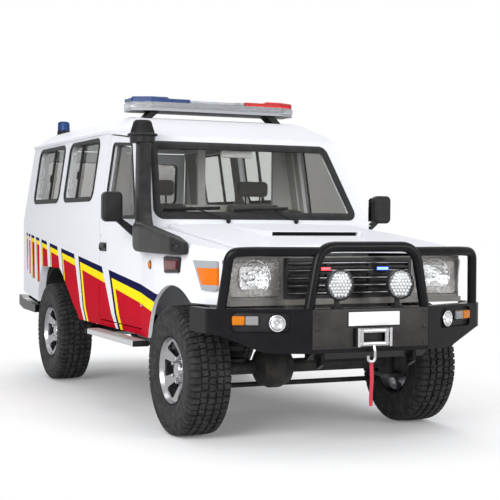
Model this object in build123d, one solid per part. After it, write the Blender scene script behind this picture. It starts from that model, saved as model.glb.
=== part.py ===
from build123d import *
import os
from math import cos, radians, sin

# Troop-carrier ambulance, in millimetres. The vehicle faces -Y and its left side is +X.
# Every place along the vehicle is measured from the front axle (y = 0) and the finished
# nodes are shifted so that the origin lies on the ground under the middle of the overall box.

# Overall
WHEELBASE = 2980.0
REAR_OVERHANG = 990.0  # rear axle to the flat of the back doors

# Running gear
FRONT_TRACK = 1555.0
REAR_TRACK = 1460.0
TYRE_R = 400.0
TYRE_WIDTH = 265.0
RIM_R = 206.0
KINGPIN_OFFSET = 157.5  # wheel's middle plane to the kingpin
KINGPIN_X = FRONT_TRACK / 2 - KINGPIN_OFFSET
RUN_FIT = 0.05  # radial play of every pin and spindle
SEAT = 0.3  # play round glass and lenses in their seats

# Body section, left half
BODY_HALF = 845.0
SILL_HALF = BODY_HALF - 13.0
GUTTER_HALF = BODY_HALF - 95.0
SILL_Z = 555.0
KNEE_Z = 660.0
BELT_Z = 1310.0
GUTTER_Z = 1955.0
WALL = 60.0
SKIN = 20.0  # outer part of a door, which fills the whole opening
DOOR_STEP = 15.0  # inner part of a door stands back from the outline by this much

# Stations along the body
COWL_Y = 606.0
FIREWALL_Y = COWL_Y + 34.0
FIREWALL_T = 25.0
DOOR_FRONT_Y = COWL_Y + 76.0
DOOR_REAR_Y = 1620.0
PARTITION_Y = DOOR_REAR_Y + 120.0
REAR_Y = WHEELBASE + REAR_OVERHANG
REAR_LEAN = 40.0
DOOR_GAP = 12.0
EDGE_GAP = 8.0

# Windscreen plane: front face of the frame is at SCREEN_Y when z = SCREEN_Z
SCREEN_Z = BELT_Z - 20.0
SCREEN_Y = COWL_Y + 38.0
SCREEN_RAKE = 0.648  # backward travel for each unit of height
SCREEN_DEPTH = 80.0
HEADER_Z = GUTTER_Z - 59.0

# Floor and frame
FLOOR_Z = 690.0
FLOOR_T = 25.0
RAIL_X = KINGPIN_X - 285.0
RAIL_W = 65.0
RAIL_TOP = 655.0
RAIL_FRONT_Y = -790.0
RAIL_REAR_Y = REAR_Y - 70.0

# Roof
ROOF_Z = GUTTER_Z + 150.0
ROOF_T = 40.0
ROOF_BEND_Y = DOOR_REAR_Y + 70.0

# Front end
FENDER_FLARE = 41.0  # fender outside the body side
FENDER_HALF = BODY_HALF + FENDER_FLARE
FENDER_T = 25.0
FENDER_FRONT_Y = -575.0
FENDER_INNER_X = BODY_HALF - 155.0
FENDER_TOP_FRONT_Z = BELT_Z - 170.0
FENDER_TOP_REAR_Z = BELT_Z - 40.0
NOSE_Y = FENDER_FRONT_Y - 25.0
ARCH_R = TYRE_R + 120.0
HOOD_SIDE_GAP = 7.0
HOOD_HALF = FENDER_INNER_X - HOOD_SIDE_GAP
HOOD_T = 28.0
HOOD_RISE = 14.0
HOOD_SLOPE = 6.0  # degrees
HOOD_FRONT_Y = NOSE_Y - 12.0
HOOD_REAR_Y = COWL_Y - 12.0
HOOD_FRONT_Z = FENDER_TOP_FRONT_Z + 32.0

# Bull bar
BAR_Y = RAIL_FRONT_Y - 91.0
BAR_HALF = 381.0
BAR_TOP_Z = 818.0
BAR_BOTTOM_Z = 567.0
WING_X = BODY_HALF + 62.0
WING_Y = BAR_Y + 234.0
WING_TIP_X = BODY_HALF + 87.0
WING_TIP_Y = WING_Y + 237.0
HOOP_R = 30.0
EYE_X = 300.0
EYE_R = 12.0

# Lamps
HEADLAMP_X = BODY_HALF - 224.0
HEADLAMP_Z = FENDER_TOP_FRONT_Z - 155.0
HEADLAMP_W = 350.0
HEADLAMP_H = 226.0
DRIVING_X = 198.0
DRIVING_Z = 950.0
DRIVING_R = 86.0

# Light bar
LIGHT_BAR_Y = DOOR_REAR_Y - 60.0
LIGHT_BAR_HALF = GUTTER_HALF - 100.0
LIGHT_BAR_DEPTH = 280.0
LIGHT_BAR_Z = ROOF_Z + 7.0

# Spare wheel on the wide rear door
SPARE_X = -260.0
SPARE_Z = 1062.0
SPARE_GAP = 30.0  # between the door and the spare tyre
SPARE_Y = REAR_Y + SPARE_GAP + TYRE_WIDTH / 2
REAR_SPLIT_X = 150.0
POST_X = BODY_HALF - 135.0
REAR_HINGE_X = POST_X - 8.0
REAR_DOOR_Z = 640.0

# The overall box runs from the hook's front to the spare tyre's outer face
HOOK_OUT = 40.0
HOOK_R = 9.0
ORIGIN_Y = (SPARE_Y + TYRE_WIDTH / 2 + BAR_Y - HOOK_OUT - HOOK_R) / 2


def outline(points, radius=0.0):
    if isinstance(radius, (list, tuple)) or radius > 0:
        return make_face(FilletPolyline(*points, radius=radius, close=True))
    return make_face(Polyline(*points, close=True))


def xy_prism(points, z0, z1, radius=0.0):
    return extrude(Plane.XY.offset(z0) * outline(points, radius), amount=z1 - z0)


def yz_prism(points, x0, x1, radius=0.0):
    return extrude(Plane.YZ.offset(x0) * outline(points, radius), amount=x1 - x0)


def xz_prism(points, y0, y1, radius=0.0):
    plane = Plane(origin=(0, y1, 0), x_dir=(1, 0, 0), z_dir=(0, -1, 0))
    return extrude(plane * outline(points, radius), amount=y1 - y0)


def block(x0, x1, y0, y1, z0, z1):
    middle = Pos((x0 + x1) / 2, (y0 + y1) / 2, (z0 + z1) / 2)
    return middle * Box(x1 - x0, y1 - y0, z1 - z0)


def rod(start, end, radius):
    start = Vector(*start)
    along = Vector(*end) - start
    return extrude(Plane(origin=start, z_dir=along.normalized()) * Circle(radius), amount=along.length)


def tube(points, bend, radius):
    path = FilletPolyline(*points, radius=bend)
    first = Vector(*points[0])
    along = (Vector(*points[1]) - first).normalized()
    return sweep(Plane(origin=first, z_dir=along) * Circle(radius), path=path)


def mirrored(shape):
    return mirror(shape, about=Plane.YZ)


def joined(pieces):
    whole = pieces[0]
    for piece in pieces[1:]:
        whole = whole + piece
    return whole


def body_x(z):
    if z <= KNEE_Z:
        return SILL_HALF + (BODY_HALF - SILL_HALF) * (z - SILL_Z) / (KNEE_Z - SILL_Z)
    if z <= BELT_Z:
        return BODY_HALF
    return BODY_HALF - (BODY_HALF - GUTTER_HALF) * (z - BELT_Z) / (GUTTER_Z - BELT_Z)


def screen_y(z):
    return SCREEN_Y + SCREEN_RAKE * (z - SCREEN_Z)


def rail_z(y):
    rear_of_header = screen_y(HEADER_Z) + SCREEN_DEPTH
    if y >= ROOF_BEND_Y:
        return GUTTER_Z
    return HEADER_Z + (GUTTER_Z - HEADER_Z) * (y - rear_of_header) / (ROOF_BEND_Y - rear_of_header)


def wall_section(outer, inner, z0=SILL_Z, z1=GUTTER_Z):
    levels = [z0] + [z for z in (KNEE_Z, BELT_Z) if z0 < z < z1] + [z1]
    outside = [(body_x(z) - outer, z) for z in levels]
    inside = [(body_x(max(z, KNEE_Z)) - inner, z) for z in reversed(levels)]
    return outside + inside


def rear_section(outer, inner, z0, z1):
    def rear_y(z):
        return REAR_Y - max(0.0, REAR_LEAN * (z - BELT_Z) / (GUTTER_Z - BELT_Z))

    levels = [z0, BELT_Z, z1]
    outside = [(rear_y(z) - outer, z) for z in levels]
    inside = [(rear_y(z) - inner, z) for z in reversed(levels)]
    return outside + inside


def body_envelope(y0, y1):
    levels = [SILL_Z, KNEE_Z, BELT_Z, GUTTER_Z]
    right = [(-body_x(z), z) for z in levels]
    left = [(body_x(z), z) for z in reversed(levels)]
    return xz_prism(right + left, y0, y1)


# Chassis frame

CROSS_TABLE = [
    # y, depth along y, z0, z1
    (RAIL_FRONT_Y + 50.0, 60.0, 575.0, 640.0),
    (FIREWALL_Y, 70.0, 500.0, 556.0),
    (DOOR_REAR_Y - 60.0, 80.0, 500.0, 540.0),
    (WHEELBASE - 620.0, 70.0, 590.0, 650.0),
    (WHEELBASE + 500.0, 70.0, 575.0, 640.0),
    (RAIL_REAR_Y - 50.0, 80.0, 575.0, 640.0),
]
MOUNT_PAD_Y = (FIREWALL_Y + 120.0, DOOR_REAR_Y + 80.0, WHEELBASE - 560.0, REAR_Y - 270.0)
RAIL_LOW_Z = 500.0
RAIL_HIGH_Z = 565.0


def make_chassis():
    low = [
        (RAIL_FRONT_Y, RAIL_HIGH_Z),
        (FIREWALL_Y - 210.0, RAIL_HIGH_Z),
        (FIREWALL_Y, RAIL_LOW_Z),
        (WHEELBASE - 580.0, RAIL_LOW_Z),
        (WHEELBASE - 340.0, RAIL_HIGH_Z),
        (RAIL_REAR_Y, RAIL_HIGH_Z),
    ]
    side = low + [(RAIL_REAR_Y, RAIL_TOP), (RAIL_FRONT_Y, RAIL_TOP)]
    rail = yz_prism(side, RAIL_X, RAIL_X + RAIL_W)
    pad_height = FLOOR_Z - FLOOR_T - RAIL_TOP
    for y in MOUNT_PAD_Y:
        rail = rail + Pos(RAIL_X + RAIL_W / 2, y, RAIL_TOP + pad_height / 2) * Cylinder(30.0, pad_height)
    solids = [rail, mirrored(rail)]
    half = RAIL_X - SEAT
    for y, depth, z0, z1 in CROSS_TABLE:
        solids.append(block(-half, half, y - depth / 2, y + depth / 2, z0, z1))
    return solids


# Floor, firewall and windscreen frame

WHEEL_BOX_R = TYRE_R + 125.0
WHEEL_BOX_T = 20.0
WHEEL_BOX_X = REAR_TRACK / 2 - 170.0
ROCKER_IN = BODY_HALF - 145.0
ROCKER_TOP = 592.0


def make_floor():
    inside = BODY_HALF - WALL
    plate = block(-inside, inside, FIREWALL_Y + FIREWALL_T, REAR_Y - WALL - 2.0, FLOOR_Z - FLOOR_T, FLOOR_Z)
    rocker_section = [
        (ROCKER_IN, SILL_Z),
        (SILL_HALF, SILL_Z),
        (body_x(ROCKER_TOP), ROCKER_TOP),
        (inside - 15.0, ROCKER_TOP),
        (inside - 15.0, FLOOR_Z - FLOOR_T),
        (ROCKER_IN, FLOOR_Z - FLOOR_T),
    ]
    rocker = xz_prism(rocker_section, DOOR_FRONT_Y - EDGE_GAP + 2.0, DOOR_REAR_Y + DOOR_GAP)
    slot_edge = block(
        inside - 15.0, BODY_HALF, FIREWALL_Y, DOOR_REAR_Y + DOOR_GAP, FLOOR_Z - FLOOR_T, FLOOR_Z
    )
    box_length = inside - WHEEL_BOX_X
    centre = Pos(WHEEL_BOX_X + box_length / 2, WHEELBASE, TYRE_R)
    turn = Rot(0, 90, 0)
    drum = centre * turn * Cylinder(WHEEL_BOX_R + WHEEL_BOX_T, box_length)
    drum = drum & block(0, BODY_HALF, 0, REAR_Y, FLOOR_Z, GUTTER_Z)
    bore = Pos(WHEEL_BOX_T, 0, 0) * centre * turn * Cylinder(WHEEL_BOX_R, box_length)
    pan = plate
    for flip in (False, True):
        def place(shape):
            return mirrored(shape) if flip else shape

        pan = pan - place(slot_edge) + place(rocker) + place(drum) - place(bore)
    return pan


SCREEN_LOW_Z = SCREEN_Z + 55.0
SCREEN_LOW_HALF = BODY_HALF - 103.0
SCREEN_HIGH_Z = HEADER_Z - 56.0
SCREEN_HIGH_HALF = GUTTER_HALF - 94.0


def screen_hole(inset):
    return [
        (-SCREEN_LOW_HALF + inset, SCREEN_LOW_Z + inset),
        (SCREEN_LOW_HALF - inset, SCREEN_LOW_Z + inset),
        (SCREEN_HIGH_HALF - inset, SCREEN_HIGH_Z - inset),
        (-SCREEN_HIGH_HALF + inset, SCREEN_HIGH_Z - inset),
    ]


def screen_slab(front, depth, z0, z1):
    return yz_prism(
        [
            (screen_y(z0) + front, z0),
            (screen_y(z1) + front, z1),
            (screen_y(z1) + front + depth, z1),
            (screen_y(z0) + front + depth, z0),
        ],
        -BODY_HALF,
        BODY_HALF,
    )


POST_IN = BODY_HALF - 145.0
COWL_TOP = SCREEN_Z + 2.0
COWL_LOW = SCREEN_Z - 65.0


def make_cowl():
    frame = screen_slab(0.0, SCREEN_DEPTH, SCREEN_Z, HEADER_Z)
    frame = frame - xz_prism(screen_hole(0.0), 0, DOOR_REAR_Y, 40.0)
    cowl_section = [
        (COWL_Y, COWL_LOW),
        (COWL_Y, COWL_TOP - 10.0),
        (SCREEN_Y, COWL_TOP),
        (SCREEN_Y + SCREEN_DEPTH, COWL_TOP),
        (SCREEN_Y + SCREEN_DEPTH, COWL_LOW),
    ]
    cowl = yz_prism(cowl_section, -BODY_HALF, BODY_HALF)
    wall = block(-POST_IN, POST_IN, FIREWALL_Y, FIREWALL_Y + FIREWALL_T, FLOOR_Z - FLOOR_T, COWL_LOW + 15.0)
    whole = frame + cowl + wall
    hinge_front = DOOR_FRONT_Y - EDGE_GAP
    for side_sign in (-1, 1):
        ends = sorted((side_sign * POST_IN, side_sign * (BODY_HALF - FENDER_T)))
        whole = whole + block(ends[0], ends[1], COWL_Y, FIREWALL_Y + FIREWALL_T, SILL_Z, COWL_TOP)
    low = SILL_Z - WALL
    door_top = COWL_TOP - 10.0
    door_back = SCREEN_Y + SCREEN_DEPTH + 0.1
    door_room = [(hinge_front, low), (hinge_front, door_top), (door_back, door_top), (door_back, low)]
    wing_top = COWL_TOP - 8.0
    wing_front = COWL_Y - 1
    wing_room = [(wing_front, low), (wing_front, wing_top), (hinge_front, wing_top), (hinge_front, low)]
    wing_x = BODY_HALF - FENDER_T
    for x0, x1, room_x0, room_x1 in (
        (-BODY_HALF, -POST_IN, -BODY_HALF, -wing_x),
        (POST_IN, BODY_HALF, wing_x, BODY_HALF),
    ):
        whole = whole - yz_prism(door_room, x0, x1) - yz_prism(wing_room, room_x0, room_x1)
    return whole & body_envelope(COWL_Y - 1, DOOR_REAR_Y)


def make_windscreen():
    return screen_slab(8.0, 8.0, SCREEN_Z, HEADER_Z) & xz_prism(screen_hole(SEAT), 0, DOOR_REAR_Y, 40.0)


# Side walls

SIDE_WINDOW_Y = DOOR_REAR_Y + 270.0
SIDE_WINDOW_TABLE = [
    # y0, y1
    (SIDE_WINDOW_Y, SIDE_WINDOW_Y + 790.0),
    (SIDE_WINDOW_Y + 950.0, REAR_Y - 330.0),
]
SIDE_WINDOW_Z0 = BELT_Z + 162.0
SIDE_WINDOW_Z1 = GUTTER_Z - 33.0
SIDE_WINDOW_R = 70.0
SIDE_IN = BODY_HALF - 345.0  # a cut between these two takes in the whole side wall
SIDE_OUT = BODY_HALF + 155.0
CORNER_R = 60.0


def side_window(y0, y1, inset):
    z0 = SIDE_WINDOW_Z0 + inset
    z1 = SIDE_WINDOW_Z1 - inset
    corners = [(y0 + inset, z0), (y1 - inset, z0), (y1 - inset, z1), (y0 + inset, z1)]
    return yz_prism(corners, SIDE_IN, BODY_HALF + 1, SIDE_WINDOW_R - inset)


def rear_arch():
    corners = [
        (WHEELBASE + 420.0, TYRE_R),
        (WHEELBASE + 420.0, TYRE_R + 290.0),
        (WHEELBASE + 320.0, TYRE_R + 532.0),
        (WHEELBASE - 280.0, TYRE_R + 532.0),
        (WHEELBASE - 760.0, TYRE_R + 200.0),
        (WHEELBASE - 860.0, TYRE_R),
    ]
    return yz_prism(corners, SIDE_IN, SIDE_OUT, [0, 40, 150, 200, 150, 0])


def make_quarter():
    y0 = DOOR_REAR_Y + DOOR_GAP
    wall = xz_prism(wall_section(0.0, WALL), y0, REAR_Y - WALL)
    rear = [(y0, SILL_Z)] + rear_section(0.0, 0.0, SILL_Z, GUTTER_Z)[:3] + [(y0, GUTTER_Z)]
    post = yz_prism(rear_section(0.0, WALL + 1.0, SILL_Z, GUTTER_Z), POST_X, BODY_HALF)
    post = post & body_envelope(REAR_Y - 200.0, REAR_Y)
    panel = (wall + post) & yz_prism(rear, 0.0, BODY_HALF + 1)
    corner_edges = [e for e in panel.edges() if is_rear_corner(e)]
    panel = fillet(corner_edges, CORNER_R)
    for win_y0, win_y1 in SIDE_WINDOW_TABLE:
        panel = panel - side_window(win_y0, win_y1, 0.0)
    panel = panel - rear_arch()
    before = ROOF_BEND_Y - 190.0
    above = GUTTER_Z + 145.0
    slope = [(before, rail_z(before)), (ROOF_BEND_Y, GUTTER_Z), (ROOF_BEND_Y, above), (before, above)]
    panel = panel - yz_prism(slope, SIDE_IN, SIDE_OUT)
    tail_y = WHEELBASE + 410.0
    tail = [(tail_y, TYRE_R), (REAR_Y + 1, TYRE_R), (REAR_Y + 1, SILL_Z + 135.0), (tail_y, SILL_Z + 67.0)]
    return panel - yz_prism(tail, SIDE_IN, SIDE_OUT)


def is_rear_corner(edge):
    middle = edge.position_at(0.5)
    lean = max(0.0, REAR_LEAN * (middle.Z - BELT_Z) / (GUTTER_Z - BELT_Z))
    at_rear = abs(middle.Y - (REAR_Y - lean)) < 0.5
    at_side = abs(middle.X - body_x(middle.Z)) < 0.5
    return at_rear and at_side and edge.length > 50.0


def make_side_windows():
    panes = []
    for y0, y1 in SIDE_WINDOW_TABLE:
        slab = xz_prism(wall_section(22.0, 28.0, BELT_Z + 90.0), y0, y1)
        pane = slab & side_window(y0, y1, SEAT)
        panes += [pane, mirrored(pane)]
    return panes


# Front doors

DOOR_Z0 = 600.0
HINGE_R = 10.0
HINGE_PIN_R = 4.0
HINGE_LENGTH = 60.0
DOOR_HINGE_Z = (760.0, 1110.0)
DOOR_HINGE_Y = DOOR_FRONT_Y + 6.0
DOOR_SILL_Z = BELT_Z + 28.0
DOOR_SHOULDER_Z = BELT_Z - 38.0


def pillar_y(z):
    return screen_y(z) + SCREEN_DEPTH + EDGE_GAP + 2.0


def door_outline(inset):
    z_top_rear = rail_z(DOOR_REAR_Y) - DOOR_GAP - inset
    y_top = pillar_y(HEADER_Z - 11.0) + inset
    z_top_front = rail_z(y_top) - DOOR_GAP - inset
    return [
        (DOOR_FRONT_Y + inset, DOOR_Z0 + inset),
        (DOOR_REAR_Y - inset, DOOR_Z0 + inset),
        (DOOR_REAR_Y - inset, z_top_rear),
        (y_top, z_top_front),
        (pillar_y(BELT_Z) + inset, BELT_Z - inset),
        (pillar_y(BELT_Z) + inset, DOOR_SHOULDER_Z - inset),
        (DOOR_FRONT_Y + inset, DOOR_SHOULDER_Z - inset),
    ]


def door_window(inset):
    y_low = pillar_y(DOOR_SILL_Z) + 55.0
    z_high_front = rail_z(pillar_y(HEADER_Z - 61.0)) - DOOR_GAP - 58.0
    y_high = pillar_y(z_high_front) + 60.0
    y_rear = DOOR_REAR_Y - 85.0
    return [
        (y_low + inset, DOOR_SILL_Z + inset),
        (y_rear - inset, DOOR_SILL_Z + inset),
        (y_rear - inset, rail_z(y_rear) - DOOR_GAP - 58.0 - inset),
        (y_high + inset, z_high_front - inset),
    ]


def upright_hinge(x, y, z, toward_x, toward_y):
    """Barrel for the moving leaf, and pin with its angled foot for the fixed one."""
    barrel = Pos(x, y, z + HINGE_LENGTH / 2) * Cylinder(HINGE_R, HINGE_LENGTH)
    barrel = barrel - Pos(x, y, z + HINGE_LENGTH / 2) * Cylinder(HINGE_PIN_R + RUN_FIT, HINGE_LENGTH)
    pin = Pos(x, y, z + HINGE_LENGTH / 2 - 5.0) * Cylinder(HINGE_PIN_R, HINGE_LENGTH + 10.0)
    arm_xs = sorted((x, toward_x))
    arm_ys = sorted((y, toward_y))
    arm = block(arm_xs[0] - 5.0, arm_xs[1] + 5.0, y - 5.0, y + 5.0, z - 12.0, z - 0.5)
    foot = block(toward_x - 5.0, toward_x + 5.0, arm_ys[0] - 5.0, arm_ys[1] + 5.0, z - 12.0, z - 0.5)
    return barrel, pin + arm + foot


def door_hinges():
    return [
        upright_hinge(BODY_HALF, DOOR_HINGE_Y, z, BODY_HALF - 38.0, FIREWALL_Y + 15.0)
        for z in DOOR_HINGE_Z
    ]


def make_door():
    y0, y1 = DOOR_FRONT_Y, DOOR_REAR_Y
    skin = xz_prism(wall_section(0.0, SKIN), y0, y1)
    skin = skin & yz_prism(door_outline(0.0), 0, SIDE_OUT, [30, 30, 30, 20, 0, 0, 0])
    lining = xz_prism(wall_section(SKIN, WALL), y0, y1)
    lining = lining & yz_prism(door_outline(DOOR_STEP), 0, SIDE_OUT)
    door = skin + lining
    door = door - yz_prism(door_window(0.0), 0, SIDE_OUT, 25.0)
    notch_x = (BODY_HALF - 50.0, BODY_HALF + 30.0)
    web_y = (DOOR_HINGE_Y + 5.0, DOOR_HINGE_Y + 17.0)
    for z in DOOR_HINGE_Z:
        door = door - block(*notch_x, y0 - 1, DOOR_HINGE_Y + 16.0, z - 18.0, z + HINGE_LENGTH + 4.0)
    for z, (barrel, pin) in zip(DOOR_HINGE_Z, door_hinges()):
        web = block(BODY_HALF - 9.0, BODY_HALF - 1.0, *web_y, z, z + HINGE_LENGTH)
        inside_barrel = Pos(BODY_HALF, DOOR_HINGE_Y, z + HINGE_LENGTH / 2) * Cylinder(HINGE_R - 1, 100.0)
        door = door + barrel + (web - inside_barrel)
    return door


def make_door_glass():
    slab = xz_prism(wall_section(26.0, 32.0, BELT_Z), DOOR_FRONT_Y, DOOR_REAR_Y)
    return slab & yz_prism(door_window(SEAT), 0, SIDE_OUT, 25.0 - SEAT)


MIRROR_X0 = BODY_HALF + 107.0
MIRROR_X1 = BODY_HALF + 243.0
MIRROR_Y = DOOR_FRONT_Y + 93.0
MIRROR_Z0 = BELT_Z - 6.0
MIRROR_Z1 = MIRROR_Z0 + 200.0
MIRROR_FOOT_Z0 = BELT_Z - 135.0
MIRROR_FOOT_Z1 = BELT_Z - 48.0


def make_mirror():
    housing = block(MIRROR_X0, MIRROR_X1, MIRROR_Y - 32.0, MIRROR_Y + 28.0, MIRROR_Z0, MIRROR_Z1)
    housing = fillet(housing.edges().filter_by(Axis.Y), 35.0)
    housing = fillet(housing.faces().sort_by(Axis.Y)[0].edges(), 22.0)
    glass_room = block(
        MIRROR_X0 + 12, MIRROR_X1 - 12, MIRROR_Y + 22.0, MIRROR_Y + 30.0, MIRROR_Z0 + 12, MIRROR_Z1 - 12
    )
    housing = housing - glass_room
    foot_y = (MIRROR_Y - 35.0, MIRROR_Y + 60.0)
    foot = block(BODY_HALF, BODY_HALF + 14.0, *foot_y, MIRROR_FOOT_Z0, MIRROR_FOOT_Z1)
    arm = xz_prism(
        [
            (BODY_HALF + 6.0, MIRROR_FOOT_Z0 + 10.0),
            (BODY_HALF + 6.0, MIRROR_FOOT_Z1 - 7.0),
            (MIRROR_X0 + 60.0, MIRROR_Z0 + 60.0),
            (MIRROR_X0 + 60.0, MIRROR_Z0 + 20.0),
        ],
        MIRROR_Y - 15.0,
        MIRROR_Y + 12.0,
    )
    return foot + arm + housing


# Rear doors

REAR_WINDOW_Z0 = BELT_Z + 165.0
REAR_WINDOW_Z1 = GUTTER_Z - 95.0
REAR_HINGE_Y = REAR_Y + 8.0
REAR_HINGE_Z = (760.0, 1190.0)


def rear_door_span(left):
    edge = REAR_HINGE_X - 5.0
    if left:
        return REAR_SPLIT_X + EDGE_GAP / 2, edge
    return -edge, REAR_SPLIT_X - EDGE_GAP / 2


def rear_door_window(left, inset):
    x0, x1 = rear_door_span(left)
    low = REAR_WINDOW_Z0 + inset
    high = REAR_WINDOW_Z1 - inset
    return [
        (x0 + 75.0 + inset, low),
        (x1 - 75.0 - inset, low),
        (x1 - 75.0 - inset, high),
        (x0 + 75.0 + inset, high),
    ]


def rear_hinges(left):
    side_sign = 1 if left else -1
    hinges = []
    for z in REAR_HINGE_Z:
        hinges.append(
            upright_hinge(
                side_sign * REAR_HINGE_X, REAR_HINGE_Y, z, side_sign * (POST_X + 16.0), REAR_Y - 2.0
            )
        )
    return hinges


def make_rear_door(left):
    x0, x1 = rear_door_span(left)
    top = GUTTER_Z - EDGE_GAP
    skin = yz_prism(rear_section(0.0, SKIN, REAR_DOOR_Z, top), x0, x1)
    lining = yz_prism(
        rear_section(SKIN, WALL, REAR_DOOR_Z + DOOR_STEP, top - DOOR_STEP), x0 + DOOR_STEP, x1 - DOOR_STEP
    )
    door = skin + lining
    door = door - xz_prism(rear_door_window(left, 0.0), REAR_Y - 500.0, REAR_Y + 500.0, 50.0)
    side_sign = 1 if left else -1
    edge = side_sign * REAR_HINGE_X
    for z, (barrel, pin) in zip(REAR_HINGE_Z, rear_hinges(left)):
        xs = sorted((edge + side_sign * 10.0, edge - side_sign * 18.0))
        door = door - block(xs[0], xs[1], REAR_Y - 14.0, REAR_Y + 10.0, z - 18.0, z)
        leaf_xs = sorted((edge - side_sign * 6.0, edge - side_sign * 150.0))
        leaf = block(leaf_xs[0], leaf_xs[1], REAR_Y - 1.0, REAR_Y + 6.0, z, z + HINGE_LENGTH)
        clear = Pos(edge, REAR_HINGE_Y, z + HINGE_LENGTH / 2) * Cylinder(HINGE_R - 1.0, HINGE_LENGTH + 10)
        door = door + barrel + (leaf - clear)
    return door


CARRIER_HALF = 130.0
CARRIER_T = 14.0
CARRIER_R = 64.0


def make_spare_carrier():
    """Plate bolted to the wide back door, and the post that the spare's disc is nutted to."""
    xs = (SPARE_X - CARRIER_HALF, SPARE_X + CARRIER_HALF)
    plate = block(*xs, REAR_Y, REAR_Y + CARRIER_T, SPARE_Z - CARRIER_HALF, SPARE_Z + CARRIER_HALF)
    face_y = SPARE_Y + RIM_FACE_Z - SEAT
    post = rod((SPARE_X, REAR_Y + CARRIER_T, SPARE_Z), (SPARE_X, face_y, SPARE_Z), CARRIER_R)
    return [plate, post]


def make_rear_glass(left):
    slab = yz_prism(rear_section(24.0, 30.0, REAR_DOOR_Z, GUTTER_Z - EDGE_GAP), -BODY_HALF, BODY_HALF)
    return slab & xz_prism(rear_door_window(left, SEAT), REAR_Y - 500.0, REAR_Y + 500.0, 50.0 - SEAT)


# Roof

ROOF_SHOULDER_X = GUTTER_HALF - 140.0
ROOF_SHOULDER_Z = ROOF_Z - 27.0
RAIL_LIP = 14.0
RAIL_LIP_H = 20.0


def roof_side(inset):
    front = screen_y(HEADER_Z)
    rear = REAR_Y - REAR_LEAN
    low = 0.0 if inset == 0 else -200.0
    return [
        (front + 1.4 * inset, HEADER_Z + low),
        (front + 1.6 * inset, HEADER_Z + 6.0),
        (ROOF_BEND_Y - 290.0 + 0.6 * inset, ROOF_Z - 55.0 - inset),
        (ROOF_BEND_Y + 10.0, ROOF_Z - 23.0 - inset),
        (ROOF_BEND_Y + 810.0, ROOF_Z - inset),
        (REAR_Y - 370.0, ROOF_Z - 15.0 - inset),
        (rear - 55.0 - inset, ROOF_Z - 70.0 - inset),
        (rear - inset, GUTTER_Z + 6.0),
        (rear - inset, GUTTER_Z + low),
    ]


def roof_volume(inset):
    side = roof_side(inset)
    rear_of_header = screen_y(HEADER_Z) + SCREEN_DEPTH
    if inset == 0:
        side = side + [(ROOF_BEND_Y, GUTTER_Z), (rear_of_header, HEADER_Z)]
    radii = [0, 0, 120, 400, 900, 300, 90, 0] + [0] * (len(side) - 8)
    along = yz_prism(side, -SIDE_OUT, SIDE_OUT, radii)
    lean = (BODY_HALF - GUTTER_HALF) / (GUTTER_Z - BELT_Z)
    base_z = GUTTER_Z - 255.0
    base_half = GUTTER_HALF + lean * (GUTTER_Z - base_z) - inset
    top_half = ROOF_SHOULDER_X - 0.6 * inset
    across = [
        (-base_half, base_z),
        (base_half, base_z),
        (GUTTER_HALF - inset, GUTTER_Z),
        (top_half, ROOF_SHOULDER_Z - inset),
        (0.0, ROOF_Z - inset),
        (-top_half, ROOF_SHOULDER_Z - inset),
        (-GUTTER_HALF + inset, GUTTER_Z),
    ]
    return along & xz_prism(across, COWL_Y, REAR_Y + 130.0, [0, 0, 60, 60, 4000, 60, 60])


def drip_rail(side_sign):
    start = screen_y(HEADER_Z) + SCREEN_DEPTH
    path = [
        (start, HEADER_Z),
        (ROOF_BEND_Y, GUTTER_Z),
        (REAR_Y - REAR_LEAN - 70.0, GUTTER_Z),
        (REAR_Y - REAR_LEAN - 70.0, GUTTER_Z + RAIL_LIP_H),
        (ROOF_BEND_Y, GUTTER_Z + RAIL_LIP_H),
        (start, HEADER_Z + RAIL_LIP_H),
    ]
    lean = (BODY_HALF - GUTTER_HALF) / (GUTTER_Z - BELT_Z)
    strip = yz_prism(path, SIDE_IN, SIDE_OUT)
    inner = GUTTER_HALF - 12.0
    section = [
        (inner + lean * 80.0, GUTTER_Z - 80.0),
        (GUTTER_HALF + RAIL_LIP + lean * 80.0, GUTTER_Z - 80.0),
        (GUTTER_HALF + RAIL_LIP, GUTTER_Z),
        (GUTTER_HALF + RAIL_LIP, GUTTER_Z + 40.0),
        (inner - 8.0, GUTTER_Z + 40.0),
        (inner, GUTTER_Z),
    ]
    strip = strip & xz_prism(section, COWL_Y, REAR_Y + 130.0)
    return strip if side_sign > 0 else mirrored(strip)


def make_roof():
    roof = roof_volume(0.0) - roof_volume(ROOF_T)
    return roof + drip_rail(1) + drip_rail(-1)


# Front fenders and hood

FENDER_BACK_Y = 330.0


def fender_plan():
    return [
        (FENDER_INNER_X, FENDER_FRONT_Y),
        (FENDER_HALF - 111.0, FENDER_FRONT_Y),
        (FENDER_HALF - 41.0, -440.0),
        (FENDER_HALF - 5.0, -280.0),
        (FENDER_HALF, 0.0),
        (FENDER_HALF - 4.0, FENDER_BACK_Y),
        (BODY_HALF + 3.0, DOOR_FRONT_Y - EDGE_GAP),
        (FENDER_INNER_X, DOOR_FRONT_Y - EDGE_GAP),
    ]


def fender_inside(y):
    """Inner face of the fender's skin behind the wheel arch."""
    share = (y - FENDER_BACK_Y) / (DOOR_FRONT_Y - EDGE_GAP - FENDER_BACK_Y)
    return (FENDER_HALF - 4.0) * (1 - share) + (BODY_HALF + 3.0) * share - FENDER_T


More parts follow.
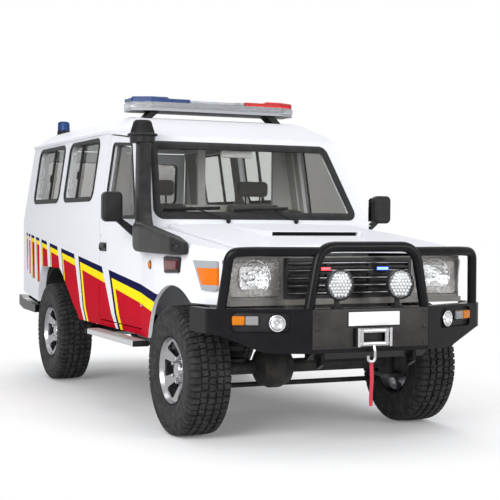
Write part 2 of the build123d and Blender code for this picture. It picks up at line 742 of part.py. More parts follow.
def fender_inner_plan():
    back = DOOR_FRONT_Y - EDGE_GAP
    return [
        (FENDER_INNER_X - 50.0, FENDER_FRONT_Y + FENDER_T),
        (FENDER_HALF - 124.0, FENDER_FRONT_Y + FENDER_T),
        (FENDER_HALF - 64.0, -430.0),
        (FENDER_HALF - 5.0 - FENDER_T, -275.0),
        (FENDER_HALF - FENDER_T, 0.0),
        (FENDER_HALF - 4.0 - FENDER_T, FENDER_BACK_Y),
        (BODY_HALF + 3.0 - FENDER_T, back + 1.0),
        (FENDER_INNER_X - 50.0, back + 1.0),
    ]


def fender_side(drop):
    back = DOOR_FRONT_Y - EDGE_GAP
    return [
        (FENDER_FRONT_Y - 1, 500.0),
        (back + 2, 500.0),
        (back + 2, FENDER_TOP_REAR_Z - drop),
        (FENDER_FRONT_Y - 1, FENDER_TOP_FRONT_Z - drop),
    ]


def make_fender():
    outer = xy_prism(fender_plan(), 500.0, 1400.0, [0, 30, 120, 200, 0, 0, 0, 0])
    outer = outer & yz_prism(fender_side(0.0), 0, SIDE_OUT)
    top_edges = [
        e
        for e in outer.edges()
        if e.center().Z > FENDER_TOP_FRONT_Z - 40.0
        and e.center().X > FENDER_INNER_X + 60.0
        and e.center().Y < DOOR_FRONT_Y - 22.0
    ]
    outer = fillet(top_edges, 38.0)
    inner = xy_prism(fender_inner_plan(), 400.0, 1400.0) & yz_prism(fender_side(FENDER_T), 0, SIDE_OUT)
    fender = outer - inner
    fender = fender - block(0, BODY_HALF - FENDER_T + 2.0, COWL_Y - 4.0, 800.0, 400.0, 1400.0)
    fender = fender - xz_prism(headlamp_outline(-6.0), NOSE_Y - 50, NOSE_Y + 90.0, 30.0)
    arch = Pos(900.0, 0, TYRE_R) * Rot(0, 90, 0) * Cylinder(ARCH_R, 700.0)
    front_z = FENDER_TOP_FRONT_Z - 310.0
    low_front = [(-700.0, 300.0), (-150.0, 300.0), (-150.0, front_z), (-700.0, front_z)]
    low_mid = [(-200.0, 300.0), (490.0, 300.0), (490.0, 500.0), (-200.0, 500.0)]
    low_rear = [(400.0, 300.0), (800.0, 300.0), (800.0, SILL_Z), (400.0, SILL_Z)]
    for cut in (low_front, low_mid, low_rear):
        fender = fender - yz_prism(cut, SIDE_IN, SIDE_OUT)
    return fender - arch


SCOOP_HALF = 320.0
SCOOP_H = 34.0
SCOOP_START = 445.0
SCOOP_END = 1000.0
HOOD_NOSE_H = 46.0
HOOD_HINGE_X = HOOD_HALF - 83.0
HOOD_HINGE_R = 8.0


def hood_place():
    return Pos(0, HOOD_FRONT_Y, HOOD_FRONT_Z) * Rot(HOOD_SLOPE, 0, 0)


def hood_length():
    return (HOOD_REAR_Y - HOOD_FRONT_Y) / cos(radians(HOOD_SLOPE))


def hood_band(top, bottom, y0, y1):
    edge_top = Edge.make_three_point_arc(
        (-HOOD_HALF, 0, top - HOOD_RISE), (0, 0, top), (HOOD_HALF, 0, top - HOOD_RISE)
    )
    edge_low = Edge.make_three_point_arc(
        (HOOD_HALF, 0, bottom - HOOD_RISE), (0, 0, bottom), (-HOOD_HALF, 0, bottom - HOOD_RISE)
    )
    right = Edge.make_line((HOOD_HALF, 0, top - HOOD_RISE), (HOOD_HALF, 0, bottom - HOOD_RISE))
    left = Edge.make_line((-HOOD_HALF, 0, bottom - HOOD_RISE), (-HOOD_HALF, 0, top - HOOD_RISE))
    face = Face(Wire([edge_top, right, edge_low, left]))
    return Pos(0, y0, 0) * extrude(face, amount=y1 - y0, dir=(0, 1, 0))


def hood_axis():
    return HOOD_REAR_Y - 4.0, HOOD_FRONT_Z + (HOOD_REAR_Y - HOOD_FRONT_Y) * sin(radians(HOOD_SLOPE)) - 4.0


def make_hood():
    length = hood_length()
    hood = hood_band(0.0, -HOOD_T, 0.0, length) + hood_band(0.0, -HOOD_NOSE_H, 0.0, HOOD_T)
    front_edges = [
        e for e in hood.edges() if abs(e.center().Y) < 0.5 and e.center().Z > -12.0 and e.length > HOOD_HALF
    ]
    hood = fillet(front_edges, 22.0)
    scoop = yz_prism(
        [(SCOOP_START, -10.0), (SCOOP_START, SCOOP_H), (SCOOP_END, -2.0), (SCOOP_END, -10.0)],
        -SCOOP_HALF,
        SCOOP_HALF,
    )
    slot_half = SCOOP_HALF - 22.0
    slot = block(-slot_half, slot_half, SCOOP_START - 1.0, SCOOP_START + 70.0, 3.0, SCOOP_H - 7.0)
    hood = hood + scoop - slot
    hood = hood_place() * hood
    front = HOOD_FRONT_Y - 88.0
    corner = [(-HOOD_HALF - 1, front), (-HOOD_HALF - 1, HOOD_FRONT_Y + 70.0), (-HOOD_HALF + 83.0, front)]
    trim = xy_prism(corner, HOOD_FRONT_Z - 200.0, HOOD_FRONT_Z + 200.0)
    hood = hood - trim - mirrored(trim)
    axis_y, axis_z = hood_axis()
    for side_sign in (-1, 1):
        x = side_sign * HOOD_HINGE_X
        place = Pos(x, axis_y, axis_z) * Rot(0, 90, 0)
        web = block(x - 25.0, x + 25.0, axis_y - 20.0, axis_y - 4.0, axis_z - 20.0, axis_z - 6.0)
        hood = hood - place * Cylinder(HOOD_HINGE_R + 6.0, 90.0)
        hood = hood + place * Cylinder(HOOD_HINGE_R, 50.0) + web
        hood = hood - place * Cylinder(HINGE_PIN_R + RUN_FIT, 90.0)
    return hood


def hood_pins():
    axis_y, axis_z = hood_axis()
    pins = []
    for side_sign in (-1, 1):
        start = side_sign * (HOOD_HINGE_X - 25.0)
        end = side_sign * (HOOD_HINGE_X + 36.0)
        pin = rod((start, axis_y, axis_z), (end, axis_y, axis_z), HINGE_PIN_R)
        xs = sorted((side_sign * (HOOD_HINGE_X + 25.5), end))
        foot = block(xs[0], xs[1], axis_y - 5.0, COWL_Y + 2.0, axis_z - 8.0, axis_z + 5.0)
        drop = block(xs[0], xs[1], COWL_Y - 6.0, COWL_Y + 2.0, COWL_TOP - 30.0, axis_z + 5.0)
        pins += [pin + foot + drop]
    return pins


# Nose

GRILLE_HALF = HEADLAMP_X - HEADLAMP_W / 2 - 21.0
GRILLE_Z1 = FENDER_TOP_FRONT_Z - 42.0
GRILLE_Z0 = GRILLE_Z1 - 236.0
GRILLE_POST_X = 140.0
PANEL_Z0 = GRILLE_Z0 - 36.0
PANEL_Z1 = GRILLE_Z1 + 8.0
PANEL_T = 30.0
PANEL_HALF = HEADLAMP_X + 151.0
SLAT_COUNT = 5


def headlamp_outline(inset):
    w = HEADLAMP_W / 2 - inset
    h = HEADLAMP_H / 2 - inset
    return [
        (HEADLAMP_X - w, HEADLAMP_Z - h),
        (HEADLAMP_X + w - 35.0, HEADLAMP_Z - h),
        (HEADLAMP_X + w - 10.0, HEADLAMP_Z + h),
        (HEADLAMP_X - w, HEADLAMP_Z + h),
    ]


def make_front_panel():
    """Lamp surround with its lower strip, the shelf behind it and the two legs on the rails."""
    back = NOSE_Y + PANEL_T - 5.0
    panel = block(-PANEL_HALF, PANEL_HALF, NOSE_Y, back, PANEL_Z0, PANEL_Z1)
    hole = xz_prism(headlamp_outline(0.0), NOSE_Y - 50, NOSE_Y + 80.0, 30.0)
    grille_hole = block(-GRILLE_HALF, GRILLE_HALF, NOSE_Y - 50, NOSE_Y + 80.0, GRILLE_Z0, GRILLE_Z1)
    strip = block(-PANEL_HALF, PANEL_HALF, NOSE_Y - 28.0, NOSE_Y, PANEL_Z0, PANEL_Z0 + 32.0)
    shelf_half = RAIL_X + RAIL_W + 100.0
    shelf = block(-shelf_half, shelf_half, back, NOSE_Y + 90.0, PANEL_Z0, PANEL_Z0 + 20.0)
    leg_x = RAIL_X + RAIL_W / 2
    leg = block(leg_x - 25.0, leg_x + 25.0, NOSE_Y + 40.0, NOSE_Y + 90.0, RAIL_TOP, PANEL_Z0)
    return [panel - hole - mirrored(hole) - grille_hole + strip, shelf, leg, mirrored(leg)]


def make_grille():
    depth = 40.0
    y0 = NOSE_Y - 12.0
    outer = block(-GRILLE_HALF + SEAT, GRILLE_HALF - SEAT, y0, y0 + depth, GRILLE_Z0 + SEAT, GRILLE_Z1 - SEAT)
    rim = 20.0
    grille = outer - block(
        -GRILLE_HALF + rim, GRILLE_HALF - rim, y0 - 1, y0 + depth + 1, GRILLE_Z0 + rim, GRILLE_Z1 - rim
    )
    room = GRILLE_Z1 - GRILLE_Z0 - 2 * rim
    for n in range(SLAT_COUNT):
        z = GRILLE_Z0 + rim + room * (n + 1) / (SLAT_COUNT + 1)
        grille = grille + yz_prism(
            [(y0 + 4.0, z - 9.0), (y0 + 4.0, z + 3.0), (y0 + 34.0, z + 9.0), (y0 + 34.0, z - 3.0)],
            -GRILLE_HALF + rim - 1.0,
            GRILLE_HALF - rim + 1.0,
        )
    for x in (-GRILLE_POST_X, GRILLE_POST_X):
        post_z = (GRILLE_Z0 + rim - 1, GRILLE_Z1 - rim + 1)
        grille = grille + block(x - 7.0, x + 7.0, y0 + 6.0, y0 + 32.0, *post_z)
    return grille


def make_headlamps():
    body = xz_prism(headlamp_outline(SEAT), NOSE_Y - 8.0, NOSE_Y + PANEL_T + 20.0, 30.0 - SEAT)
    lamp = body
    front = lamp.faces().sort_by(Axis.Y)[0]
    lamp = fillet(front.edges(), 6.0)
    return [lamp, mirrored(lamp)]


CORNER_LAMP_Z0 = FENDER_TOP_FRONT_Z - 234.0
CORNER_LAMP_Z1 = FENDER_TOP_FRONT_Z - 60.0


def make_corner_lamps():
    plan = [
        (FENDER_HALF - 96.0, FENDER_FRONT_Y),
        (FENDER_HALF - 31.0, -452.0),
        (FENDER_HALF + 2.0, -276.0),
        (FENDER_HALF - 66.0, -276.0),
        (FENDER_HALF - 116.0, -500.0),
    ]
    side = [
        (-530.0, CORNER_LAMP_Z0),
        (-285.0, CORNER_LAMP_Z0 + 14.0),
        (-300.0, CORNER_LAMP_Z1),
        (-530.0, CORNER_LAMP_Z1),
    ]
    lamp = xy_prism(plan, CORNER_LAMP_Z0, CORNER_LAMP_Z1, [0, 120, 4, 0, 0])
    return lamp & yz_prism(side, SIDE_IN, SIDE_OUT, 14.0)


# Bull bar


POCKET_Z = 742.0
POCKET_DEPTH = 18.0
LIP_Z = 524.0


def wing_frame(along, z):
    """Plane on the left wing's face, at a distance along it from the wing's middle."""
    direction = Vector(WING_X - BAR_HALF, WING_Y - BAR_Y).normalized()
    point = Vector((BAR_HALF + WING_X) / 2, (BAR_Y + WING_Y) / 2) + direction * along
    outward = (direction.Y, -direction.X, 0)
    return Plane(origin=(point.X, point.Y, z), x_dir=(direction.X, direction.Y, 0), z_dir=outward)


def make_bull_bar():
    front = [
        (-WING_TIP_X, WING_TIP_Y),
        (-WING_X, WING_Y),
        (-BAR_HALF, BAR_Y),
        (BAR_HALF, BAR_Y),
        (WING_X, WING_Y),
        (WING_TIP_X, WING_TIP_Y),
    ]
    rail_out = RAIL_X + RAIL_W + 5.0
    back = [
        (WING_TIP_X - 34.0, WING_TIP_Y),
        (WING_X - 50.0, WING_Y + 62.0),
        (rail_out, RAIL_FRONT_Y),
        (-rail_out, RAIL_FRONT_Y),
        (-WING_X + 50.0, WING_Y + 62.0),
        (-WING_TIP_X + 34.0, WING_TIP_Y),
    ]
    radii = [0, 90, 30, 30, 90, 0, 0, 40, 0, 0, 40, 0]
    bar = xy_prism(front + back, BAR_BOTTOM_Z, BAR_TOP_Z, radii)
    rise_out = WING_TIP_X + 68.0
    rise = [
        (BAR_HALF + 49.0, BAR_BOTTOM_Z - 67.0),
        (rise_out, BAR_BOTTOM_Z - 67.0),
        (rise_out, BAR_BOTTOM_Z + 123.0),
        (WING_X - 47.0, BAR_BOTTOM_Z + 101.0),
    ]
    rise = xz_prism(rise, BAR_Y - 119.0, 0.0)
    bar = bar - rise - mirrored(rise)
    lip_top = BAR_BOTTOM_Z + 2
    lip = [(BAR_Y + 6, lip_top), (BAR_Y + 70.0, LIP_Z), (RAIL_FRONT_Y, LIP_Z), (RAIL_FRONT_Y, lip_top)]
    bar = bar + yz_prism(lip, -BAR_HALF, BAR_HALF)
    pocket = extrude(wing_frame(0.0, POCKET_Z) * RectangleRounded(330.0, 118.0, 30.0), amount=-POCKET_DEPTH)
    bar = bar - pocket - mirrored(pocket)
    for x in (-EYE_X, EYE_X):
        side = [
            (BAR_Y + 20, BAR_BOTTOM_Z - 7.0),
            (BAR_Y + 20, EYE_Z - 6.0),
            (BAR_Y + 81.0, EYE_Z - 36.0),
            (BAR_Y + 86.0, BAR_BOTTOM_Z - 7.0),
        ]
        eye = yz_prism(side, x - 12, x + 12) - Pos(x, EYE_Y, EYE_Z) * Rot(0, 90, 0) * Cylinder(EYE_R, 60.0)
        bar = bar + eye
    return bar


EYE_Y = BAR_Y + 52.0
EYE_Z = LIP_Z - 18.0
HOOP_Y = BAR_Y + 45.0
HOOP_TOP_Z = BAR_TOP_Z + 341.0
SIDE_HOOP_Z = HOOP_TOP_Z - 42.0


def centre_hoop(radius):
    foot_x = BAR_HALF + 4.0 - HOOP_R
    top_x = BAR_HALF - 81.0
    foot_z = BAR_TOP_Z - 20.0
    path = [
        (-foot_x, HOOP_Y, foot_z),
        (-top_x, HOOP_Y, HOOP_TOP_Z),
        (top_x, HOOP_Y, HOOP_TOP_Z),
        (foot_x, HOOP_Y, foot_z),
    ]
    return tube(path, 80.0, radius)


def make_bar_hoops():
    """Bent tubes that stand on the bar: one over the middle and one on each wing."""
    path = [
        (BAR_HALF - 63.0, HOOP_Y + 12.0, SIDE_HOOP_Z),
        (WING_X - 207.0, WING_Y - 88.0, SIDE_HOOP_Z),
        (WING_X - 107.0, WING_Y - 53.0, SIDE_HOOP_Z - 107.0),
        (WING_X - 69.0, WING_Y - 5.0, BAR_TOP_Z - 15.0),
    ]
    side = tube(path, 70.0, HOOP_R - 2.0) - centre_hoop(HOOP_R + SEAT)
    under_bar = block(-SIDE_OUT, SIDE_OUT, BAR_Y - 200.0, 0.0, LIP_Z, BAR_TOP_Z)
    return [hoop - under_bar for hoop in (centre_hoop(HOOP_R), side, mirrored(side))]


def make_bar_lamps():
    fog = extrude(wing_frame(-93.0, POCKET_Z - 4.0).offset(-POCKET_DEPTH) * Circle(48.0), amount=30.0)
    fog = fillet(fog.edges().sort_by(Axis.Y)[0], 8.0)
    face = wing_frame(87.0, POCKET_Z + 10.0).offset(-POCKET_DEPTH)
    signal = extrude(face * RectangleRounded(150.0, 56.0, 14.0), amount=24.0)
    return [fog, mirrored(fog), signal, mirrored(signal)]


def make_driving_lamps():
    lamps = []
    for side_sign in (-1, 1):
        x = side_sign * DRIVING_X
        y = BAR_Y + 12.0
        profile = [
            (0, 0),
            (DRIVING_R, 0),
            (DRIVING_R, 24.0),
            (DRIVING_R - 10.0, 34.0),
            (46.0, 78.0),
            (0, 78.0),
        ]
        face = make_face(Polyline(*profile, close=True))
        lamp = Pos(x, y, DRIVING_Z) * (Rot(-90, 0, 0) * revolve(Plane.XZ * face, Axis.Z))
        foot = block(x - 30.0, x + 30.0, y + 20.0, y + 60.0, BAR_TOP_Z, BAR_TOP_Z + 8.0)
        stem = block(x - 14.0, x + 14.0, y + 34.0, y + 48.0, BAR_TOP_Z, DRIVING_Z - 40.0)
        lamps.append(lamp + foot + stem)
    return lamps


FAIR_HALF = 120.0
FAIR_Z0 = 600.0
FAIR_Z1 = 706.0
HOOK_X = -22.0
HOOK_LOW_Z = 516.0


def make_fairlead():
    y = BAR_Y
    mouth = FAIR_HALF - 50.0
    plate = block(-FAIR_HALF, FAIR_HALF, y - 10.0, y, FAIR_Z0, FAIR_Z1)
    plate = plate - block(-mouth, mouth, y - 11.0, y + 1, FAIR_Z0 + 30.0, FAIR_Z1 - 30.0)
    pieces = [plate]
    roller_end = FAIR_HALF - 25.0
    for z in (FAIR_Z0 + 16.0, FAIR_Z1 - 16.0):
        pieces.append(rod((-roller_end, y - 26.0, z), (roller_end, y - 26.0, z), 14.0))
    for side_sign in (-1, 1):
        x = side_sign * (FAIR_HALF - 38.0)
        pieces.append(rod((x, y - 30.0, FAIR_Z0 + 8.0), (x, y - 30.0, FAIR_Z1 - 8.0), 14.0))
        cheek_x = side_sign * (FAIR_HALF - 16.0)
        pieces.append(block(cheek_x - 8.0, cheek_x + 8.0, y - 44.0, y - 5.0, FAIR_Z0, FAIR_Z1))
    hook_y = y - HOOK_OUT
    path = [
        (0, y - 28.0, FAIR_Z0 + 12.0),
        (0, hook_y, FAIR_Z0 - 25.0),
        (0, hook_y, HOOK_LOW_Z),
        (2.0 * HOOK_X, hook_y, HOOK_LOW_Z),
        (2.0 * HOOK_X, hook_y, HOOK_LOW_Z + 34.0),
    ]
    return joined(pieces) + tube(path, [8.0, 20.0, 20.0], HOOK_R)


STRAP_R = 12.0
STRAP_LENGTH = 245.0


def make_strap():
    top = HOOK_LOW_Z - HOOK_R - SEAT
    y = BAR_Y - HOOK_OUT
    return rod((HOOK_X, y, top), (HOOK_X, y, top - STRAP_LENGTH), STRAP_R)


# Snorkel on the vehicle's right

SNORKEL_LOW = (-FENDER_HALF, COWL_Y - 22.0, BELT_Z - 25.0)
SNORKEL_HIGH = (-GUTTER_HALF - 23.0, COWL_Y + 279.0, HEADER_Z - 46.0)
SNORKEL_R = 45.0


def make_snorkel():
    rear = DOOR_FRONT_Y - EDGE_GAP - 30.0
    plan = [
        (-(FENDER_HALF - 5.0) - SEAT, -275.0),
        (-FENDER_HALF - SEAT, 0.0),
        (-(FENDER_HALF - 4.0) - SEAT, FENDER_BACK_Y),
        (-(BODY_HALF + 3.0) - SEAT - 3.0, rear),
        (-FENDER_HALF - 44.0, rear),
        (-FENDER_HALF - 79.0, FENDER_BACK_Y),
        (-FENDER_HALF - 79.0, -150.0),
        (-FENDER_HALF - 34.0, -275.0),
    ]
    side = [
        (-285.0, BELT_Z - 205.0),
        (rear - 44.0, BELT_Z - 198.0),
        (rear + 2.0, BELT_Z - 140.0),
        (rear - 4.0, BELT_Z - 10.0),
        (rear - 104.0, BELT_Z - 14.0),
        (-160.0, BELT_Z - 92.0),
        (-285.0, BELT_Z - 125.0),
    ]
    duct = xy_prism(plan, BELT_Z - 260.0, BELT_Z + 20.0, [0, 0, 0, 0, 20, 60, 80, 20])
    duct = duct & yz_prism(side, -FENDER_HALF - 214.0, -FENDER_HALF + 186.0, [20, 40, 20, 20, 40, 60, 20])
    pipe = rod(SNORKEL_LOW, SNORKEL_HIGH, SNORKEL_R)
    head_profile = [
        (0, -12.0),
        (54.0, -12.0),
        (60.0, 30.0),
        (102.0, 36.0),
        (102.0, 48.0),
        (80.0, 54.0),
        (54.0, 138.0),
        (0, 144.0),
    ]
    head = revolve(Plane.XZ * make_face(Polyline(*head_profile, close=True)), Axis.Z)
    return duct + pipe + Pos(*SNORKEL_HIGH) * head


# Light bar and beacons


def bar_plan(inset, half):
    depth = LIGHT_BAR_DEPTH / 2 - inset
    x = half - inset
    y = LIGHT_BAR_Y
    return [
        (-x, y - depth + 70.0),
        (-x + 130.0, y - depth),
        (x - 130.0, y - depth),
        (x, y - depth + 70.0),
        (x, y + depth - 20.0),
        (x - 60.0, y + depth),
        (-x + 60.0, y + depth),
        (-x, y + depth - 20.0),
    ]


BAR_BASE_H = 22.0
BAR_CLEAR_H = 42.0
BAR_TINT_H = 38.0
BAR_CENTRE_X = 215.0


def make_light_bar():
    z = LIGHT_BAR_Z
    base = xy_prism(bar_plan(4.0, LIGHT_BAR_HALF), z, z + BAR_BASE_H, 20.0)
    top_in = LIGHT_BAR_HALF - 220.0
    top_out = LIGHT_BAR_HALF - 150.0
    foot_out = LIGHT_BAR_HALF - 90.0
    side = [(top_in, z), (top_out, z), (foot_out, z - 60.0), (top_out, z - 60.0)]
    leg = xz_prism(side, LIGHT_BAR_Y - 60.0, LIGHT_BAR_Y + 60.0) - roof_volume(0.0)
    return [base, leg, mirrored(leg)]


def make_light_bar_clear():
    z = LIGHT_BAR_Z + BAR_BASE_H
    lens = xy_prism(bar_plan(0.0, LIGHT_BAR_HALF), z, z + BAR_CLEAR_H, 24.0)
    centre = xy_prism(bar_plan(0.0, LIGHT_BAR_HALF), z + BAR_CLEAR_H, z + BAR_CLEAR_H + 22.0, 24.0)
    centre = centre & block(-BAR_CENTRE_X, BAR_CENTRE_X, 0, REAR_Y, 0, REAR_Y)
    return lens + centre


def bar_dome():
    z = LIGHT_BAR_Z + BAR_BASE_H + BAR_CLEAR_H
    dome = xy_prism(bar_plan(6.0, LIGHT_BAR_HALF), z, z + BAR_TINT_H, 22.0)
    dome = dome & block(BAR_CENTRE_X + 4.0, SIDE_OUT, 0, REAR_Y, 0, REAR_Y)
    step = block(BAR_CENTRE_X, BAR_CENTRE_X + 170.0, 0, REAR_Y, z + BAR_TINT_H - 12.0, z + 100.0)
    dome = dome - step
    return chamfer(dome.faces().sort_by(Axis.Z)[-1].edges(), 8.0)


BEACON_X = ROOF_SHOULDER_X - 50.0
BEACON_Y = REAR_Y - 350.0
BEACON_R = 54.0
BEACON_LOW_Z = ROOF_Z - 75.0
BEACON_TOP_Z = ROOF_Z + 87.0


def make_blue_lenses():
    height = BEACON_TOP_Z - BEACON_LOW_Z
    beacon = Pos(BEACON_X, BEACON_Y, BEACON_LOW_Z + height / 2) * Cylinder(BEACON_R, height)
    beacon = beacon - roof_volume(0.0)
    beacon = fillet(beacon.edges().sort_by(Axis.Z)[-1], 20.0)
    return [mirrored(bar_dome()), beacon, mirrored(beacon)]


def make_red_lenses():
    return [bar_dome()]


TAIL_X0 = POST_X + 12.0
TAIL_X1 = BODY_HALF - 67.0
TAIL_Z0 = 830.0
TAIL_Z1 = 1100.0


def make_tail_lamps():
    lamp = block(TAIL_X0, TAIL_X1, REAR_Y, REAR_Y + 22.0, TAIL_Z0, TAIL_Z1)
    lamp = fillet(lamp.edges().filter_by(Axis.Y), 12.0)
    return [lamp, mirrored(lamp)]


# Steps, flaps, rear bumper

STEP_Y0 = DOOR_FRONT_Y - 122.0
STEP_Y1 = DOOR_REAR_Y + 20.0
STEP_X0 = BODY_HALF - 5.0
STEP_X1 = BODY_HALF + 100.0
STEP_Z0 = 496.0
STEP_Z1 = 530.0


def make_side_steps():
    plan = [
        (STEP_X0, STEP_Y0),
        (STEP_X1 - 45.0, STEP_Y0),
        (STEP_X1, STEP_Y0 + 45.0),
        (STEP_X1, STEP_Y1 - 45.0),
        (STEP_X1 - 45.0, STEP_Y1),
        (STEP_X0, STEP_Y1),
    ]
    board = xy_prism(plan, STEP_Z0, STEP_Z1)
    for n in range(4):
        x = STEP_X0 + 14.0 + n * 20.0
        board = board - block(x, x + 9.0, STEP_Y0 + 70.0, STEP_Y1 - 70.0, STEP_Z1 - 4.0, STEP_Z1 + 1.0)
    solids = [board, mirrored(board)]
    for y in (STEP_Y0 + 240.0, STEP_Y1 - 220.0):
        bracket = block(RAIL_X + RAIL_W, STEP_X0, y - 20.0, y + 20.0, STEP_Z0 + 6.0, STEP_Z0 + 24.0)
        solids += [bracket, mirrored(bracket)]
    return solids


FRONT_FLAP_Y = 535.0
FLAP_TABLE = [
    # y, x0, x1, z0, z1
    (FRONT_FLAP_Y, FENDER_INNER_X, fender_inside(FRONT_FLAP_Y) - 1.0, 325.0, 700.0),
    (WHEELBASE + 490.0, WHEEL_BOX_X, BODY_HALF - 65.0, 320.0, FLOOR_Z - FLOOR_T),
]


def make_mud_flaps():
    flaps = []
    for y, x0, x1, z0, z1 in FLAP_TABLE:
        flap = block(x0, x1, y, y + 8.0, z0, z1)
        flaps += [flap, mirrored(flap)]
    return flaps


BUMPER_Y0 = REAR_Y + 20.0
BUMPER_Y1 = REAR_Y + 108.0
BUMPER_Z0 = 536.0
BUMPER_Z1 = 640.0
TOW_R = 13.0
TOW_Y = REAR_Y + 140.0
TOW_Z = 470.0
TONGUE_T = 28.0


def make_rear_bumper():
    """Beam, side returns, the brackets on the rails and the drawbar with its pin hole."""
    half = BODY_HALF - 49.0
    beam = block(-half, half, BUMPER_Y0, BUMPER_Y1, BUMPER_Z0, BUMPER_Z1)
    beam = fillet(beam.edges().filter_by(Axis.X), 12.0)
    end_y = BUMPER_Y1 - 20.0
    end = [
        (WHEELBASE + 500.0, BUMPER_Z0 - 16.0),
        (RAIL_REAR_Y, BUMPER_Z0 - 8.0),
        (end_y, BUMPER_Z0 + 24.0),
        (end_y, BUMPER_Z1 + 10.0),
        (REAR_Y + 15.0, BUMPER_Z1 + 10.0),
        (RAIL_REAR_Y, BUMPER_Z1 - 18.0),
        (WHEELBASE + 500.0, BUMPER_Z1 - 55.0),
    ]
    side = yz_prism(end, half, BODY_HALF + 7.0, [12, 60, 20, 20, 20, 30, 12])
    x = RAIL_X + RAIL_W / 2
    bracket = block(x - 30.0, x + 30.0, RAIL_REAR_Y, BUMPER_Y0, RAIL_HIGH_Z + 5.0, BUMPER_Z1 - 4.0)
    drop = block(-45.0, 45.0, BUMPER_Y0 + 10.0, BUMPER_Y0 + 50.0, TOW_Z, BUMPER_Z0)
    tongue = block(-45.0, 45.0, BUMPER_Y0 + 10.0, TOW_Y + 42.0, TOW_Z, TOW_Z + TONGUE_T)
    drawbar = drop + tongue - Pos(0, TOW_Y, TOW_Z) * Cylinder(TOW_R, 120.0)
    return [beam, side, mirrored(side), bracket, mirrored(bracket), drawbar]


# Wheels


def wheel_tyre():
    half = TYRE_WIDTH / 2
    profile = [
        (RIM_R, -half + 28.0),
        (RIM_R + 38.0, -half + 8.0),
        (TYRE_R - 100.0, -half),
        (TYRE_R - 38.0, -half + 9.0),
        (TYRE_R - 8.0, -half + 34.0),
        (TYRE_R, 0.0),
        (TYRE_R - 8.0, half - 34.0),
        (TYRE_R - 38.0, half - 9.0),
        (TYRE_R - 100.0, half),
        (RIM_R + 38.0, half - 8.0),
        (RIM_R, half - 28.0),
    ]
    return revolve(Plane.XZ * make_face(Polyline(*profile, close=True)), Axis.Z)


SPOKES = 6
HUB_BORE_R = 30.0
DISC_R = 150.0
HUB_IN = -50.0
HUB_OUT = 40.0
RIM_FACE_Z = 26.0  # mounting face, outward of the wheel's middle


def wheel_rim():
    half = TYRE_WIDTH / 2
    seat = RIM_R - SEAT
    barrel = [
        (seat, -half + 26.0),
        (seat, half - 26.0),
        (seat - 4.0, half - 16.0),
        (seat - 15.0, half - 40.0),
        (seat - 15.0, -half + 40.0),
        (seat - 4.0, -half + 16.0),
    ]
    rim = revolve(Plane.XZ * make_face(Polyline(*barrel, close=True)), Axis.Z)
    face = [
        (0, RIM_FACE_Z),
        (0, 74.0),
        (48.0, 74.0),
        (56.0, 56.0),
        (100.0, 52.0),
        (seat - 8.0, 96.0),
        (seat - 8.0, 66.0),
        (100.0, RIM_FACE_Z),
    ]
    disc = revolve(Plane.XZ * make_face(Polyline(*face, close=True)), Axis.Z)
    window = make_face(
        FilletPolyline((92.0, -26.0), (178.0, -58.0), (178.0, 58.0), (92.0, 26.0), radius=14.0, close=True)
    )
    for n in range(SPOKES):
        turn = Rot(0, 0, (n + 0.5) * 360.0 / SPOKES)
        disc = disc - turn * extrude(Pos(0, 0, 0) * window, amount=140.0)
    for n in range(SPOKES):
        turn = Rot(0, 0, n * 360.0 / SPOKES)
        disc = disc + turn * (Pos(72.0, 0, 52.0) * Cylinder(11.0, 26.0))
    return rim + disc


def wheel_hub():
    hub = Pos(0, 0, (HUB_IN + RIM_FACE_Z + 10.0) / 2) * Cylinder(62.0, RIM_FACE_Z + 10.0 - HUB_IN)
    disc_brake = Pos(0, 0, HUB_IN + 12.0) * Cylinder(DISC_R, 24.0)
    return hub + disc_brake


def hub_bore():
    return Pos(0, 0, (HUB_IN + HUB_OUT) / 2 - 20.0) * Cylinder(HUB_BORE_R + RUN_FIT, HUB_OUT - HUB_IN + 40.0)


def on_side(shape, track, y, left):
    turn = Rot(0, 90, 0) if left else Rot(0, -90, 0)
    x = track / 2 if left else -track / 2
    return Pos(x, y, TYRE_R) * turn * shape


def spare_place(shape):
    return Pos(SPARE_X, SPARE_Y, SPARE_Z) * Rot(-90, 0, 0) * shape


# Axles, knuckles, steering

PIN_R = 18.0
BOSS_R = 52.0
BOSS_Z0 = TYRE_R - 82.0
BOSS_Z1 = TYRE_R + 82.0
EAR_T = 26.0
ARM_Y = 180.0
TIE_PIN_R = 9.0
FRONT_DIFF_X = -210.0
FRONT_DIFF_R = 135.0
FRONT_TUBE_R = 44.0
REAR_DIFF_R = 150.0
REAR_TUBE_R = 48.0
RADIUS_ARM_X = RAIL_X + 10.0
RADIUS_ARM_END_Y = 880.0


def turned_on_axle(points, y):
    """Solid turned about the axle line at y; points are (x, radius)."""
    closed = [(points[0][0], 0.0)] + points + [(points[-1][0], 0.0)]
    return Pos(0, y, TYRE_R) * revolve(Plane.XZ * make_face(Polyline(*closed, close=True)), Axis.X)


def diff_housing(diff_x, diff_r, tube_r, y):
    bulge = [
        (diff_x - diff_r, tube_r),
        (diff_x - 0.7 * diff_r, 0.8 * diff_r),
        (diff_x - 0.25 * diff_r, diff_r),
        (diff_x + 0.25 * diff_r, diff_r),
        (diff_x + 0.7 * diff_r, 0.8 * diff_r),
        (diff_x + diff_r, tube_r),
    ]
    return turned_on_axle(bulge, y)


